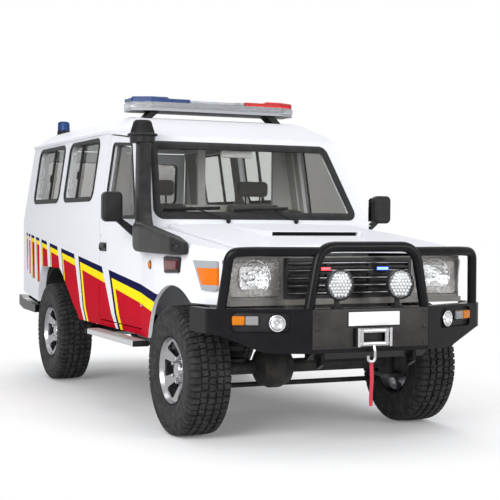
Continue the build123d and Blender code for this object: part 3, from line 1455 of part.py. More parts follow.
def make_front_axle():
    """Housing, the two tubes with their kingpin ends, and the radius arms that run back beside the rails."""
    solids = [diff_housing(FRONT_DIFF_X, FRONT_DIFF_R, FRONT_TUBE_R, 0.0)]
    middle = (BOSS_Z0 + BOSS_Z1) / 2
    height = BOSS_Z1 - BOSS_Z0
    pin_height = height + 2 * (EAR_T + 6.0)
    arm_side = [
        (0.0, TYRE_R - 28.0),
        (40.0, TYRE_R - 28.0),
        (RADIUS_ARM_END_Y, TYRE_R + 40.0),
        (RADIUS_ARM_END_Y, TYRE_R + 100.0),
        (40.0, TYRE_R + 28.0),
        (0.0, TYRE_R + 28.0),
    ]
    saddle = diff_housing(FRONT_DIFF_X, FRONT_DIFF_R + SEAT, FRONT_TUBE_R + SEAT, 0.0)
    saddle = saddle + rod((-KINGPIN_X, 0, TYRE_R), (KINGPIN_X, 0, TYRE_R), FRONT_TUBE_R + SEAT)
    for side_sign in (-1, 1):
        x = side_sign * KINGPIN_X
        half = rod((FRONT_DIFF_X + side_sign * FRONT_DIFF_R, 0, TYRE_R), (x, 0, TYRE_R), FRONT_TUBE_R)
        half = half + Pos(x, 0, middle) * Cylinder(BOSS_R, height)
        half = half + Pos(x, 0, middle) * Cylinder(PIN_R, pin_height)
        half = half + Pos(side_sign * SPRING_X, 0, TYRE_R + 50.0) * Cylinder(70.0, 20.0)
        arm_x = side_sign * RADIUS_ARM_X
        solids += [half, yz_prism(arm_side, arm_x - 22.0, arm_x + 22.0) - saddle]
    return solids


def make_rear_axle():
    y = WHEELBASE
    hub_face = REAR_TRACK / 2 + HUB_IN - 2.0
    spindle_end = REAR_TRACK / 2 + HUB_OUT - 18.0
    nose = rod((0, y - 180.0, SHAFT_LOW_Z), (0, y, TYRE_R), 44.0)
    profile = [
        (REAR_DIFF_R, REAR_TUBE_R),
        (hub_face, REAR_TUBE_R),
        (hub_face, HUB_BORE_R),
        (spindle_end, HUB_BORE_R),
    ]
    spring_pad = block(LEAF_X - 50.0, LEAF_X + 50.0, y - 60.0, y + 60.0, LEAF_Z - 22.0, LEAF_Z)
    half = turned_on_axle(profile, y) + spring_pad
    return [diff_housing(0.0, REAR_DIFF_R, REAR_TUBE_R, y) + nose, half, mirrored(half)]


def make_knuckle():
    plate_x = FRONT_TRACK / 2 + HUB_IN - 22.0
    plate = rod((plate_x, 0, TYRE_R), (plate_x + 20.0, 0, TYRE_R), 108.0)
    spindle_end = FRONT_TRACK / 2 + HUB_OUT - 18.0
    spindle = rod((plate_x, 0, TYRE_R), (spindle_end, 0, TYRE_R), HUB_BORE_R)
    pieces = [plate, spindle]
    for z0 in (BOSS_Z1 + 0.4, BOSS_Z0 - 0.4 - EAR_T):
        ear = block(KINGPIN_X, plate_x + 10.0, -42.0, 42.0, z0, z0 + EAR_T)
        ear = ear + Pos(KINGPIN_X, 0, z0 + EAR_T / 2) * Cylinder(42.0, EAR_T)
        pieces.append(ear)
    arm_z = BOSS_Z0 - 0.4 - EAR_T
    arm = block(KINGPIN_X - 20.0, KINGPIN_X + 20.0, 20.0, ARM_Y, arm_z, arm_z + EAR_T)
    arm = arm + Pos(KINGPIN_X, ARM_Y, arm_z + EAR_T / 2) * Cylinder(22.0, EAR_T)
    pieces.append(arm)
    knuckle = joined(pieces)
    knuckle = knuckle - Pos(KINGPIN_X, 0, TYRE_R) * Cylinder(PIN_R + RUN_FIT, 600.0)
    return knuckle - Pos(KINGPIN_X, ARM_Y, arm_z) * Cylinder(TIE_PIN_R + RUN_FIT, 100.0)


def make_tie_rod():
    arm_z = BOSS_Z0 - 0.4 - EAR_T
    low = arm_z - 26.0
    bar = rod((-KINGPIN_X, ARM_Y, low), (KINGPIN_X, ARM_Y, low), 16.0)
    pieces = [bar]
    for side_sign in (-1, 1):
        pieces.append(Pos(side_sign * KINGPIN_X, ARM_Y, low + 2.5) * Cylinder(24.0, 46.0))
        pieces.append(Pos(side_sign * KINGPIN_X, ARM_Y, arm_z + 4.0) * Cylinder(TIE_PIN_R, 60.0))
    return joined(pieces)


SPRING_X = KINGPIN_X - 150.0
SPRING_R = 62.0
SPRING_TURNS = 6
SPRING_TOP_Z = 760.0
TOWER_T = 6.0
LEAF_X = REAR_TRACK / 2 - 210.0
LEAF_Z = TYRE_R + 62.0
LEAF_EYE_Z = 545.0
LEAF_T = 30.0


def make_springs():
    z0 = TYRE_R + 60.0
    pitch = (SPRING_TOP_Z - z0) / SPRING_TURNS
    profile = [(0.0, z0)]
    for n in range(SPRING_TURNS):
        profile += [(SPRING_R - 16.0, z0 + n * pitch), (SPRING_R, z0 + (n + 0.5) * pitch)]
    profile += [(SPRING_R - 16.0, SPRING_TOP_Z), (0.0, SPRING_TOP_Z)]
    coil = Pos(SPRING_X, 0, 0) * revolve(Plane.XZ * make_face(Polyline(*profile, close=True)), Axis.Z)
    rail_out = RAIL_X + RAIL_W
    tower = block(rail_out, SPRING_X + 75.0, -70.0, 70.0, SPRING_TOP_Z, SPRING_TOP_Z + 24.0)
    wall = block(rail_out, rail_out + TOWER_T, -70.0, 70.0, RAIL_TOP - 80.0, SPRING_TOP_Z)
    leaf_low = [
        (WHEELBASE - 660.0, LEAF_EYE_Z),
        (WHEELBASE - 590.0, LEAF_EYE_Z),
        (WHEELBASE - 60.0, LEAF_Z),
        (WHEELBASE + 60.0, LEAF_Z),
        (WHEELBASE + 650.0, LEAF_EYE_Z),
        (WHEELBASE + 720.0, LEAF_EYE_Z),
    ]
    middle_t = LEAF_T + 12.0
    leaf_high = [(y, z + (middle_t if z == LEAF_Z else LEAF_T)) for y, z in reversed(leaf_low)]
    leaf = yz_prism(leaf_low + leaf_high, LEAF_X - 38.0, LEAF_X + 38.0)
    one_side = [coil, tower, wall, leaf]
    for y in (WHEELBASE - 625.0, WHEELBASE + 685.0):
        one_side.append(block(rail_out, LEAF_X + 38.0, y - 30.0, y + 30.0, LEAF_EYE_Z + LEAF_T, 640.0))
    return one_side + [mirrored(piece) for piece in one_side]


# Power train

GEARBOX_END_Y = 1500.0
SHAFT_LOW_Z = TYRE_R + 28.0
ENGINE_Y0 = -420.0
ENGINE_Y1 = 420.0
ENGINE_TOP_Z = FENDER_TOP_FRONT_Z - 60.0


def make_powertrain():
    """Engine block, gearbox, the two engine mounts, and the radiator on its feet."""
    half = RAIL_X - 105.0
    engine = block(-half, half, ENGINE_Y0, ENGINE_Y1, 590.0, ENGINE_TOP_Z)
    engine = chamfer(engine.edges().filter_by(Axis.Y).group_by(Axis.Z)[-1], 90.0)
    box_half = RAIL_X - 185.0
    gearbox = block(-box_half, box_half, ENGINE_Y1, GEARBOX_END_Y, 566.0, 650.0)
    mount = block(half, RAIL_X, -40.0, 40.0, 610.0, 645.0)
    core_half = RAIL_X - 5.0
    radiator = block(-core_half, core_half, ENGINE_Y0 - 90.0, ENGINE_Y0 - 30.0, 645.0, ENGINE_TOP_Z + 10.0)
    feet = block(-RAIL_X, RAIL_X, ENGINE_Y0 - 80.0, ENGINE_Y0 - 40.0, 600.0, 645.0)
    hose = block(-40.0, 40.0, ENGINE_Y0 - 30.0, ENGINE_Y0, 700.0, 800.0)
    return [engine, gearbox, mount, mirrored(mount), radiator, feet, hose]


def make_prop_shaft():
    shaft = rod((0, GEARBOX_END_Y, 598.0), (0, WHEELBASE - 186.0, SHAFT_LOW_Z + 4.0), 30.0)
    return shaft - block(-40.0, 40.0, GEARBOX_END_Y - 40.0, GEARBOX_END_Y + SEAT, 500.0, 700.0)


def make_exhaust():
    x = 65.0 - RAIL_X
    low = RAIL_LOW_Z - 45.0
    high = RAIL_HIGH_Z + 45.0
    path = [
        (x, ENGINE_Y1 + 30.0, low),
        (x, WHEELBASE - 560.0, low),
        (x, WHEELBASE - 280.0, high),
        (x, WHEELBASE + 420.0, high),
    ]
    silencer = rod((x, DOOR_REAR_Y + 130.0, low), (x, WHEELBASE - 680.0, low), 70.0)
    pieces = [tube(path, 60.0, 28.0), silencer]
    for y in (FIREWALL_Y, DOOR_REAR_Y - 60.0):
        pieces.append(block(x - 12.0, x + 12.0, y - 12.0, y + 12.0, low + 5.0, RAIL_LOW_Z))
    return joined(pieces)


TANK_X0 = RAIL_X + RAIL_W + 5.0
TANK_X1 = BODY_HALF - 155.0


def make_fuel_tank():
    y0 = DOOR_REAR_Y + 60.0
    y1 = WHEELBASE - 680.0
    tank = block(TANK_X0, TANK_X1, y0, y1, 420.0, 640.0)
    tank = fillet(tank.edges().filter_by(Axis.Y), 40.0)
    return tank + block(RAIL_X + RAIL_W, TANK_X0 + 20.0, y0 + 120.0, y1 - 120.0, 560.0, 620.0)


# Cab and load space fittings

DASH_BACK_Y = FIREWALL_Y + 300.0


def make_dashboard():
    front = FIREWALL_Y + FIREWALL_T
    cowl_back = SCREEN_Y + SCREEN_DEPTH + 1.0
    section = [
        (front, COWL_LOW - 225.0),
        (front, COWL_LOW - 1.0),
        (cowl_back, COWL_LOW - 1.0),
        (cowl_back, COWL_TOP - 20.0),
        (DASH_BACK_Y - 60.0, COWL_TOP - 30.0),
        (DASH_BACK_Y, COWL_TOP - 72.0),
        (DASH_BACK_Y - 40.0, COWL_LOW - 215.0),
    ]
    binnacle = [
        (DASH_BACK_Y - 180.0, COWL_TOP - 32.0),
        (DASH_BACK_Y - 150.0, COWL_TOP + 20.0),
        (DASH_BACK_Y - 50.0, COWL_TOP + 8.0),
        (DASH_BACK_Y - 10.0, COWL_TOP - 70.0),
    ]
    dash = yz_prism(section, -POST_IN, POST_IN)
    dash = dash + yz_prism(binnacle, STEER_X - 190.0, STEER_X + 190.0, [0, 20, 20, 0])
    return dash + rod(STEER_BASE, STEER_END, 24.0)


SEAT_X = BODY_HALF / 2 - 37.5
STEER_X = SEAT_X - 5.0
STEER_TILT = 32.0
STEER_R = 192.0
STEER_CENTRE = (STEER_X, DASH_BACK_Y + 110.0, COWL_TOP - 56.0)


def steer_axis():
    return Vector(0, cos(radians(STEER_TILT)), sin(radians(STEER_TILT)))


STEER_END = (
    STEER_X,
    STEER_CENTRE[1] - 30.0 * cos(radians(STEER_TILT)),
    STEER_CENTRE[2] - 30.0 * sin(radians(STEER_TILT)),
)
STEER_BASE = (
    STEER_X,
    STEER_CENTRE[1] - 190.0 * cos(radians(STEER_TILT)),
    STEER_CENTRE[2] - 190.0 * sin(radians(STEER_TILT)),
)


def make_steering_wheel():
    ring = Torus(STEER_R - 15.0, 15.0)
    boss = Pos(0, 0, -8.0) * Cylinder(48.0, 34.0)
    pieces = [ring, boss]
    for angle in (0.0, 90.0, 180.0):
        pieces.append(Rot(0, 0, angle) * block(30.0, STEER_R - 14.0, -16.0, 16.0, -10.0, 4.0))
    wheel = joined(pieces)
    stub = Pos(0, 0, -25.0) * Cylinder(14.0, 9.4)
    plane = Plane(origin=STEER_CENTRE, x_dir=(1, 0, 0), z_dir=steer_axis())
    return plane * (wheel + stub)


CUSHION_Z0 = FLOOR_Z + 190.0
CUSHION_Z1 = FLOOR_Z + 330.0
SEAT_TOP_Z = FLOOR_Z + 790.0


def make_front_seats():
    """Base, cushion, back and head rest of each seat, set forward of the partition."""
    y = PARTITION_Y
    solids = []
    for x in (SEAT_X, -SEAT_X):
        base = block(x - 200.0, x + 200.0, y - 610.0, y - 220.0, FLOOR_Z, CUSHION_Z0)
        cushion = block(x - 245.0, x + 245.0, y - 660.0, y - 180.0, CUSHION_Z0, CUSHION_Z1)
        cushion = fillet(cushion.edges(), 30.0)
        back_side = [
            (y - 260.0, CUSHION_Z1 - 20.0),
            (y - 140.0, CUSHION_Z1 - 35.0),
            (y - 50.0, SEAT_TOP_Z - 40.0),
            (y - 70.0, SEAT_TOP_Z),
            (y - 140.0, SEAT_TOP_Z - 10.0),
        ]
        back = yz_prism(back_side, x - 240.0, x + 240.0, 20.0)
        back = back - block(x - 250.0, x + 250.0, y - 700.0, y - 180.0, FLOOR_Z, CUSHION_Z1)
        rest = block(x - 135.0, x + 135.0, y - 132.0, y - 50.0, SEAT_TOP_Z + 15.0, SEAT_TOP_Z + 150.0)
        rest = fillet(rest.edges(), 25.0)
        for post_x in (x - 60.0, x + 60.0):
            foot = (post_x, y - 95.0, SEAT_TOP_Z - 30.0)
            rest = rest + rod(foot, (post_x, y - 90.0, SEAT_TOP_Z + 40.0), 7.0)
        solids += [base, cushion, back, rest - back]
    return solids


PARTITION_T = 30.0
HATCH_X0 = 30.0
HATCH_X1 = GUTTER_HALF - 150.0
HATCH_Z0 = BELT_Z + 130.0
HATCH_Z1 = GUTTER_Z - 95.0


def make_partition():
    y0, y1 = PARTITION_Y, PARTITION_Y + PARTITION_T
    inside = []
    for z in (FLOOR_Z, BELT_Z, GUTTER_Z - 2.0):
        inside.append((body_x(z) - WALL - 1.0, z))
    points = inside + [(-x, z) for x, z in reversed(inside)]
    wall = xz_prism(points, y0, y1)
    hatch = block(HATCH_X0, HATCH_X1, y0 - 1, y1 + 1, HATCH_Z0, HATCH_Z1)
    return wall - hatch - mirrored(hatch)


BENCH_X0 = BODY_HALF - WALL - 355.0
BENCH_Z = FLOOR_Z + 350.0
BENCH_PAD_T = 60.0


def make_rear_benches():
    """Locker under each side window with its pad, cut out over the wheel box."""
    inside = BODY_HALF - WALL - 1.0
    y0 = PARTITION_Y + 160.0
    y1 = REAR_Y - 170.0
    box_length = inside - WHEEL_BOX_X + 4.0
    box_room = Pos(WHEEL_BOX_X - 2.0 + box_length / 2, WHEELBASE, TYRE_R) * Rot(0, 90, 0)
    box_room = box_room * Cylinder(WHEEL_BOX_R + WHEEL_BOX_T + 1.0, box_length)
    locker = block(BENCH_X0, inside, y0, y1, FLOOR_Z, BENCH_Z) - box_room
    pad = block(BENCH_X0, inside, y0, y1, BENCH_Z, BENCH_Z + BENCH_PAD_T)
    return [locker, mirrored(locker), pad, mirrored(pad)]


# Nodes


def make_nodes():
    door = make_door()
    door_glass = make_door_glass()
    mirror_arm = make_mirror()
    quarter = make_quarter()
    cowl = make_cowl()
    for barrel, pin in door_hinges():
        cowl = cowl + pin + mirrored(pin)
    for pin in hood_pins():
        cowl = cowl + pin
    left_quarter = quarter
    for barrel, pin in rear_hinges(True):
        left_quarter = left_quarter + pin
    right_quarter = mirrored(left_quarter)
    fender = make_fender()
    corner_lamp = make_corner_lamps()
    fender = fender - corner_lamp
    tyre = wheel_tyre()
    rim = wheel_rim()
    road_rim = rim + wheel_hub() - hub_bore()
    knuckle = make_knuckle()
    nodes = {
        "chassis_frame": make_chassis(),
        "floor_pan": [make_floor()],
        "cowl_frame": [cowl],
        "fixed_glass": [make_windscreen()] + make_side_windows(),
        "quarter_left": [left_quarter],
        "quarter_right": [right_quarter],
        "roof_cap": [make_roof()],
        "fender_left": [fender],
        "fender_right": [mirrored(fender)],
        "front_panel": make_front_panel(),
        "grille": [make_grille()],
        "front_lamps": make_headlamps() + make_bar_lamps(),
        "corner_lamps": [corner_lamp, mirrored(corner_lamp)],
        "bull_bar": [make_bull_bar()],
        "bar_hoops": make_bar_hoops(),
        "driving_lamps": make_driving_lamps(),
        "fairlead": [make_fairlead()],
        "hook_strap": [make_strap()],
        "snorkel": [make_snorkel()],
        "light_bar": make_light_bar(),
        "light_bar_clear": [make_light_bar_clear()],
        "blue_lenses": make_blue_lenses(),
        "red_lenses": make_red_lenses(),
        "tail_lamps": make_tail_lamps(),
        "side_steps": make_side_steps(),
        "mud_flaps": make_mud_flaps(),
        "rear_bumper": make_rear_bumper(),
        "dashboard": [make_dashboard()],
        "front_seats": make_front_seats(),
        "partition": [make_partition()],
        "rear_benches": make_rear_benches(),
        "powertrain": make_powertrain() + [make_prop_shaft(), make_exhaust(), make_fuel_tank()],
        "front_axle": make_front_axle(),
        "rear_axle": make_rear_axle(),
        "springs": make_springs(),
        "hood": [make_hood()],
        "door_left": [door],
        "door_right": [mirrored(door)],
        "door_glass_left": [door_glass],
        "door_glass_right": [mirrored(door_glass)],
        "mirror_left": [mirror_arm],
        "mirror_right": [mirrored(mirror_arm)],
        "rear_door_left": [make_rear_door(True)],
        "rear_door_right": [make_rear_door(False)] + make_spare_carrier(),
        "rear_glass_left": [make_rear_glass(True)],
        "rear_glass_right": [make_rear_glass(False)],
        "spare_tyre": [spare_place(tyre)],
        "spare_rim": [spare_place(rim)],
        "knuckle_left": [knuckle],
        "knuckle_right": [mirrored(knuckle)],
        "tie_rod": [make_tie_rod()],
        "steering_wheel": [make_steering_wheel()],
    }
    for name, track, y, left in (
        ("front_left", FRONT_TRACK, 0.0, True),
        ("front_right", FRONT_TRACK, 0.0, False),
        ("rear_left", REAR_TRACK, WHEELBASE, True),
        ("rear_right", REAR_TRACK, WHEELBASE, False),
    ):
        nodes["tyre_" + name] = [on_side(tyre, track, y, left)]
        nodes["rim_" + name] = [on_side(road_rim, track, y, left)]
    return nodes


def main():
    os.makedirs("parts", exist_ok=True)
    shift = Pos(0, -ORIGIN_Y, 0)
    for name, shapes in make_nodes().items():
        solids = []
        for shape in shapes:
            solids += [shift * solid for solid in shape.solids()]
        export_step(Compound(children=solids), os.path.join("parts", name + ".step"))


if __name__ == "__main__":
    main()
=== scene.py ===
from math import cos, pi, radians, sin, tan

import bmesh
import bpy
from mathutils import Matrix, Vector


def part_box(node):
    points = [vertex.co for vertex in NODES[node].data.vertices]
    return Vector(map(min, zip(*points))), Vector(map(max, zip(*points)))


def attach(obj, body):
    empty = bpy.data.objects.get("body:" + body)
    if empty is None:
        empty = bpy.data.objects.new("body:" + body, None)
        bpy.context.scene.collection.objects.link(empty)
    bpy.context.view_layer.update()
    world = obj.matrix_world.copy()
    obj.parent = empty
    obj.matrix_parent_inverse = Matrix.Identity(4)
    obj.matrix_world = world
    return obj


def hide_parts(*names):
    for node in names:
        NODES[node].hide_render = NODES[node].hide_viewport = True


# Looks of the troop-carrier ambulance. Metres, the vehicle faces -Y and its left side is +X.
# Places along the vehicle are written from the front axle and shifted by AXLE_Y.

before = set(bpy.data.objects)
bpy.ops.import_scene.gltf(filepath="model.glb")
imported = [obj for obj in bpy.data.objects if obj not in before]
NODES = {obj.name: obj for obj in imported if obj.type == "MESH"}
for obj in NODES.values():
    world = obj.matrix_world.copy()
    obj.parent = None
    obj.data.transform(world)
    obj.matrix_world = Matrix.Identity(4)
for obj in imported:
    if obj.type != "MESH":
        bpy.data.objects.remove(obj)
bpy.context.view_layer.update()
SCENE = bpy.context.scene
SHELL = "body_shell"
SIDES = {"left": 1.0, "right": -1.0}
AXLE_Y = -1.6675
WHEELBASE = 2.98
TRACKS = {"front": 1.555, "rear": 1.46}
WHEELS = ["%s_%s" % (end, side) for end in TRACKS for side in SIDES]
TYRE_R = 0.4
FORWARD = (0.0, -1.0, 0.0)
OUTWARD = (1.0, 0.0, 0.0)
NO_TURN = (0.0, 0.0, 0.0)
EVEN = (1.0, 1.0, 1.0)


def at(x, y, z):
    return Vector((x, y + AXLE_Y, z))


def add_object(name, data):
    made = bpy.data.objects.new(name, data)
    SCENE.collection.objects.link(made)
    return made


# Finishes


class Finish:
    """A node material, with short calls for the nodes that it needs."""

    def __init__(self, name):
        self.material = bpy.data.materials.new(name)
        self.material.use_nodes = True
        self.tree = self.material.node_tree
        self.shader = self.tree.nodes["Principled BSDF"]
        self.coords = self.tree.nodes.new("ShaderNodeTexCoord")

    def put(self, socket, value):
        if isinstance(value, bpy.types.NodeSocket):
            self.tree.links.new(value, socket)
        else:
            socket.default_value = value

    def fill(self, node, values):
        for key, value in values.items():
            self.put(node.inputs[key.replace("_", " ")], value)
        return node

    def node(self, kind, **values):
        return self.fill(self.tree.nodes.new(kind), values)

    def set(self, **values):
        self.fill(self.shader, values)

    def math(self, operation, first, second=0.0, third=0.0):
        node = self.tree.nodes.new("ShaderNodeMath")
        node.operation = operation
        for socket, value in zip(node.inputs, (first, second, third)):
            self.put(socket, value)
        return node.outputs[0]

    def over(self, value, limit):
        return self.math("GREATER_THAN", value, limit)

    def under(self, value, limit):
        return self.math("LESS_THAN", value, limit)

    def all_of(self, first, *others):
        for other in others:
            first = self.math("MULTIPLY", first, other)
        return first

    def axes(self, output="Object"):
        return self.node("ShaderNodeSeparateXYZ", Vector=self.coords.outputs[output]).outputs

    def place(self, scale=EVEN, turn=NO_TURN):
        spot = self.coords.outputs["Object"]
        return self.node("ShaderNodeMapping", Vector=spot, Scale=scale, Rotation=turn).outputs[0]

    def noise(self, scale, detail=3.0, stretch=EVEN):
        node = self.node("ShaderNodeTexNoise", Vector=self.place(stretch), Scale=scale, Detail=detail)
        return node.outputs["Fac"]

    def wave(self, scale, direction, turn=NO_TURN):
        node = self.node("ShaderNodeTexWave", Vector=self.place(turn=turn), Scale=scale)
        node.bands_direction = direction
        return node.outputs["Fac"]

    def ramp(self, factor, low, high, start=0.0, end=1.0):
        limits = {"From_Min": start, "From_Max": end, "To_Min": low, "To_Max": high}
        return self.node("ShaderNodeMapRange", Value=factor, **limits).outputs[0]

    def mix(self, factor, first, second):
        node = self.node("ShaderNodeMix")
        node.data_type = "RGBA"
        self.put(node.inputs["Factor"], factor)
        colours = [s for s in node.inputs if s.type == "RGBA"]
        self.put(colours[0], first)
        self.put(colours[1], second)
        return [s for s in node.outputs if s.type == "RGBA"][0]

    def bump(self, height, strength, distance):
        """Last step of a finish with a grain; gives the material."""
        node = self.node("ShaderNodeBump", Height=height, Strength=strength, Distance=distance)
        self.set(Normal=node.outputs[0])
        return self.material


def show_mix(tree, factor, first, second, output):
    """Shows the first shader where the factor is 0, and the second where it is 1."""
    blend = tree.nodes.new("ShaderNodeMixShader")
    for socket, source in zip(blend.inputs, (factor, first.outputs[0], second.outputs[0])):
        tree.links.new(source, socket)
    tree.links.new(blend.outputs[0], tree.nodes[output].inputs["Surface"])


def rgb(red, green, blue):
    return (red, green, blue, 1.0)


def darker(colour, share):
    return rgb(*(share * c for c in colour[:3]))


WHITE = rgb(0.75, 0.76, 0.79)
NAVY = rgb(0.004, 0.005, 0.055)
YELLOW = rgb(0.94, 0.74, 0.012)
RED = rgb(0.49, 0.004, 0.018)
LINING = rgb(0.42, 0.40, 0.37)
UNDERSEAL = rgb(0.022, 0.022, 0.023)
DUST = rgb(0.40, 0.37, 0.33)

# Livery on the sides: a band that climbs to the rear, cut into panels by slanted white gaps
LIVERY_X = 0.80
BAND_Y = 0.482
BAND_Z = 0.870
BAND_CLIMB = 0.1024
# Depth of the navy strip, and of navy and yellow, at the front and at the rear, and the y of both
NAVY_DEPTH = (0.058, 0.024, 0.49, 3.5)
YELLOW_DEPTH = (0.130, 0.056, 0.53, 3.5)
DOOR_MIDDLE = 1.35
DOOR_REACH = 0.85
# Paint: the underside and the inner faces are told by the way they face
UNDERSIDE_Z = 0.72
FACES_DOWN = -0.7
FACES_IN = -0.3
PANEL_TABLE = [
    # front edge at z = 1, its slant, rear edge at z = 1, its slant, navy strip, navy and yellow strip, bottom
    (-1.000, 0.000, 1.423, 0.471, 0.045, 0.100, 0.500),
    (1.576, 0.684, 2.161, 0.325, 0.028, 0.074, 0.500),
    (2.264, 0.444, 2.643, 0.268, 0.018, 0.045, 0.500),
    (2.738, 0.400, 3.001, 0.200, 0.013, 0.034, 0.500),
    (3.088, 0.200, 3.275, 0.120, 0.011, 0.030, 0.500),
    (3.359, 0.055, 3.458, 0.130, 0.009, 0.026, 0.790),
    (3.527, 0.050, 3.622, 0.110, 0.008, 0.024, 0.815),
    (3.668, 0.040, 3.724, 0.090, 0.006, 0.020, 0.850),
    (3.762, 0.030, 3.800, 0.080, 0.005, 0.014, 0.878),
]


def livery_colour(paint):
    """Colour of the side livery over white, from the place on the vehicle's side."""
    x, y, z = paint.axes()
    y = paint.math("SUBTRACT", y, AXLE_Y)
    top = paint.math("MULTIPLY_ADD", paint.math("SUBTRACT", y, BAND_Y), BAND_CLIMB, BAND_Z)
    depth = paint.math("SUBTRACT", top, z)
    below_top = paint.over(depth, 0.0)
    in_navy = paint.under(depth, paint.ramp(y, *NAVY_DEPTH))
    in_yellow = paint.under(depth, paint.ramp(y, *YELLOW_DEPTH))
    rise = paint.math("SUBTRACT", z, 1.0)
    colour = WHITE
    for front, front_slant, rear, rear_slant, navy, strip, bottom in PANEL_TABLE:
        ahead = paint.math("MULTIPLY_ADD", rise, -front_slant, y)
        to_rear = paint.math("SUBTRACT", paint.math("MULTIPLY_ADD", rise, rear_slant, rear), y)
        inside = paint.all_of(
            paint.over(ahead, front), below_top, paint.over(to_rear, 0.0), paint.over(z, bottom)
        )
        yellow = paint.math("MAXIMUM", in_yellow, paint.under(to_rear, strip))
        navy_zone = paint.math("MAXIMUM", in_navy, paint.under(to_rear, navy))
        panel = paint.mix(navy_zone, paint.mix(yellow, RED, YELLOW), NAVY)
        colour = paint.mix(inside, colour, panel)
    outer = paint.over(paint.math("ABSOLUTE", x), LIVERY_X)
    sideways = paint.over(paint.math("ABSOLUTE", paint.axes("Normal")[0]), 0.5)
    from_door = paint.math("ABSOLUTE", paint.math("SUBTRACT", y, DOOR_MIDDLE))
    shown = paint.math("MAXIMUM", sideways, paint.under(from_door, DOOR_REACH))
    return paint.mix(paint.all_of(outer, shown), WHITE, colour)


def body_paint(name, lining=None):
    """White coach paint with road dust low down and underseal below; sides have the livery and a lining."""
    paint = Finish(name)
    x, y, z = paint.axes()
    normal = paint.axes("Normal")
    colour = livery_colour(paint) if lining else WHITE
    cover = paint.ramp(paint.noise(9.0, 6.0), 0.0, 1.0, 0.35, 0.75)
    colour = paint.mix(paint.all_of(paint.ramp(z, 0.03, 0.0, 0.45, 0.85), cover), colour, DUST)
    if lining:
        outwards = paint.all_of(paint.math("SIGN", x), normal[0])
        colour = paint.mix(paint.under(outwards, FACES_IN), colour, lining)
    below = paint.all_of(paint.under(normal[2], FACES_DOWN), paint.under(z, UNDERSIDE_Z))
    colour = paint.mix(below, colour, UNDERSEAL)
    rough = paint.ramp(paint.noise(30.0, 4.0), 0.20, 0.30)
    paint.set(Base_Color=colour, Roughness=rough, Specular_IOR_Level=0.0)
    paint.set(Coat_Weight=0.05, Coat_Roughness=0.06)
    return paint.bump(paint.noise(140.0, 2.0), 0.02, 0.002)


def sill_paint():
    """Livery on the outer sill, and dark underseal on the floor and the wheel boxes inside it."""
    paint = Finish("sill_paint")
    outer = paint.over(paint.math("ABSOLUTE", paint.axes()[0]), LIVERY_X)
    grit = paint.ramp(paint.noise(60.0, 5.0), 0.0, 1.0, 0.3, 0.7)
    below = paint.mix(grit, UNDERSEAL, rgb(0.045, 0.043, 0.040))
    colour = paint.mix(outer, below, livery_colour(paint))
    rough = paint.math("SUBTRACT", 0.72, paint.math("MULTIPLY", outer, 0.48))
    paint.set(Base_Color=colour, Roughness=rough, Specular_IOR_Level=0.0)
    paint.set(Coat_Weight=0.04, Coat_Roughness=0.08)
    return paint.bump(paint.noise(160.0, 3.0), 0.06, 0.002)


def speckled(name, colour, dark, rough, grain, strength, metal=0.0, coat=0.0, shine=0.16):
    """A moulded, coated or cast surface: two close tones, uneven gloss and a fine grain."""
    made = Finish(name)
    tone = made.mix(made.ramp(made.noise(14.0, 6.0), 0.0, 1.0, 0.3, 0.7), rgb(*colour), rgb(*dark))
    gloss = made.ramp(made.noise(40.0, 4.0), rough - 0.06, rough + 0.08)
    made.set(Base_Color=tone, Roughness=gloss, Metallic=metal, Coat_Weight=coat, Specular_IOR_Level=shine)
    return made.bump(made.noise(grain, 3.0), strength, 0.001)


def brushed(name, colour, rough, strength, stretch=EVEN):
    made = Finish(name)
    lines = made.noise(60.0, 5.0, stretch)
    tone = made.mix(lines, colour, darker(colour, 0.78))
    made.set(Base_Color=tone, Roughness=made.ramp(lines, rough - 0.05, rough + 0.12), Metallic=1.0)
    return made.bump(lines, strength, 0.0006)


def tyre_rubber():
    made = Finish("tyre_rubber")
    dust = made.ramp(made.noise(22.0, 8.0), 0.0, 0.55, 0.42, 0.78)
    tone = made.mix(dust, rgb(0.020, 0.020, 0.021), rgb(0.075, 0.073, 0.070))
    rough = made.ramp(made.noise(45.0, 5.0), 0.55, 0.80)
    made.set(Base_Color=tone, Roughness=rough, Specular_IOR_Level=0.15)
    return made.bump(made.noise(900.0, 3.0), 0.22, 0.0008)


def woven(name, colour, dark, scale):
    """Seat cloth: a fine crossing weave with a little colour change."""
    made = Finish(name)
    across = made.math("MAXIMUM", made.wave(scale, "X"), made.wave(scale, "Y"))
    weave = made.math("MULTIPLY", across, made.math("ADD", made.wave(scale, "Z"), 0.4))
    tone = made.mix(made.ramp(made.noise(18.0, 4.0), 0.0, 1.0, 0.3, 0.7), colour, dark)
    tone = made.mix(made.ramp(weave, 0.0, 0.45), dark, tone)
    made.set(Base_Color=tone, Roughness=0.92, Sheen_Weight=0.35, Sheen_Roughness=0.5)
    return made.bump(weave, 0.5, 0.0012)


def pane(name, tint, rough, ior, shade=0.75):
    """Clear or tinted sheet: refracts for the eye, and lets lamp light through with its tint."""
    made = Finish(name)
    smear = made.ramp(made.noise(6.0, 5.0), 0.0, 0.03, 0.4, 0.8)
    made.set(Base_Color=tint, Roughness=made.math("ADD", smear, rough), IOR=ior, Transmission_Weight=1.0)
    clear = made.node("ShaderNodeBsdfTransparent", Color=darker(tint, shade))
    shadow = made.node("ShaderNodeLightPath").outputs["Is Shadow Ray"]
    show_mix(made.tree, shadow, made.shader, clear, "Material Output")
    return made.material


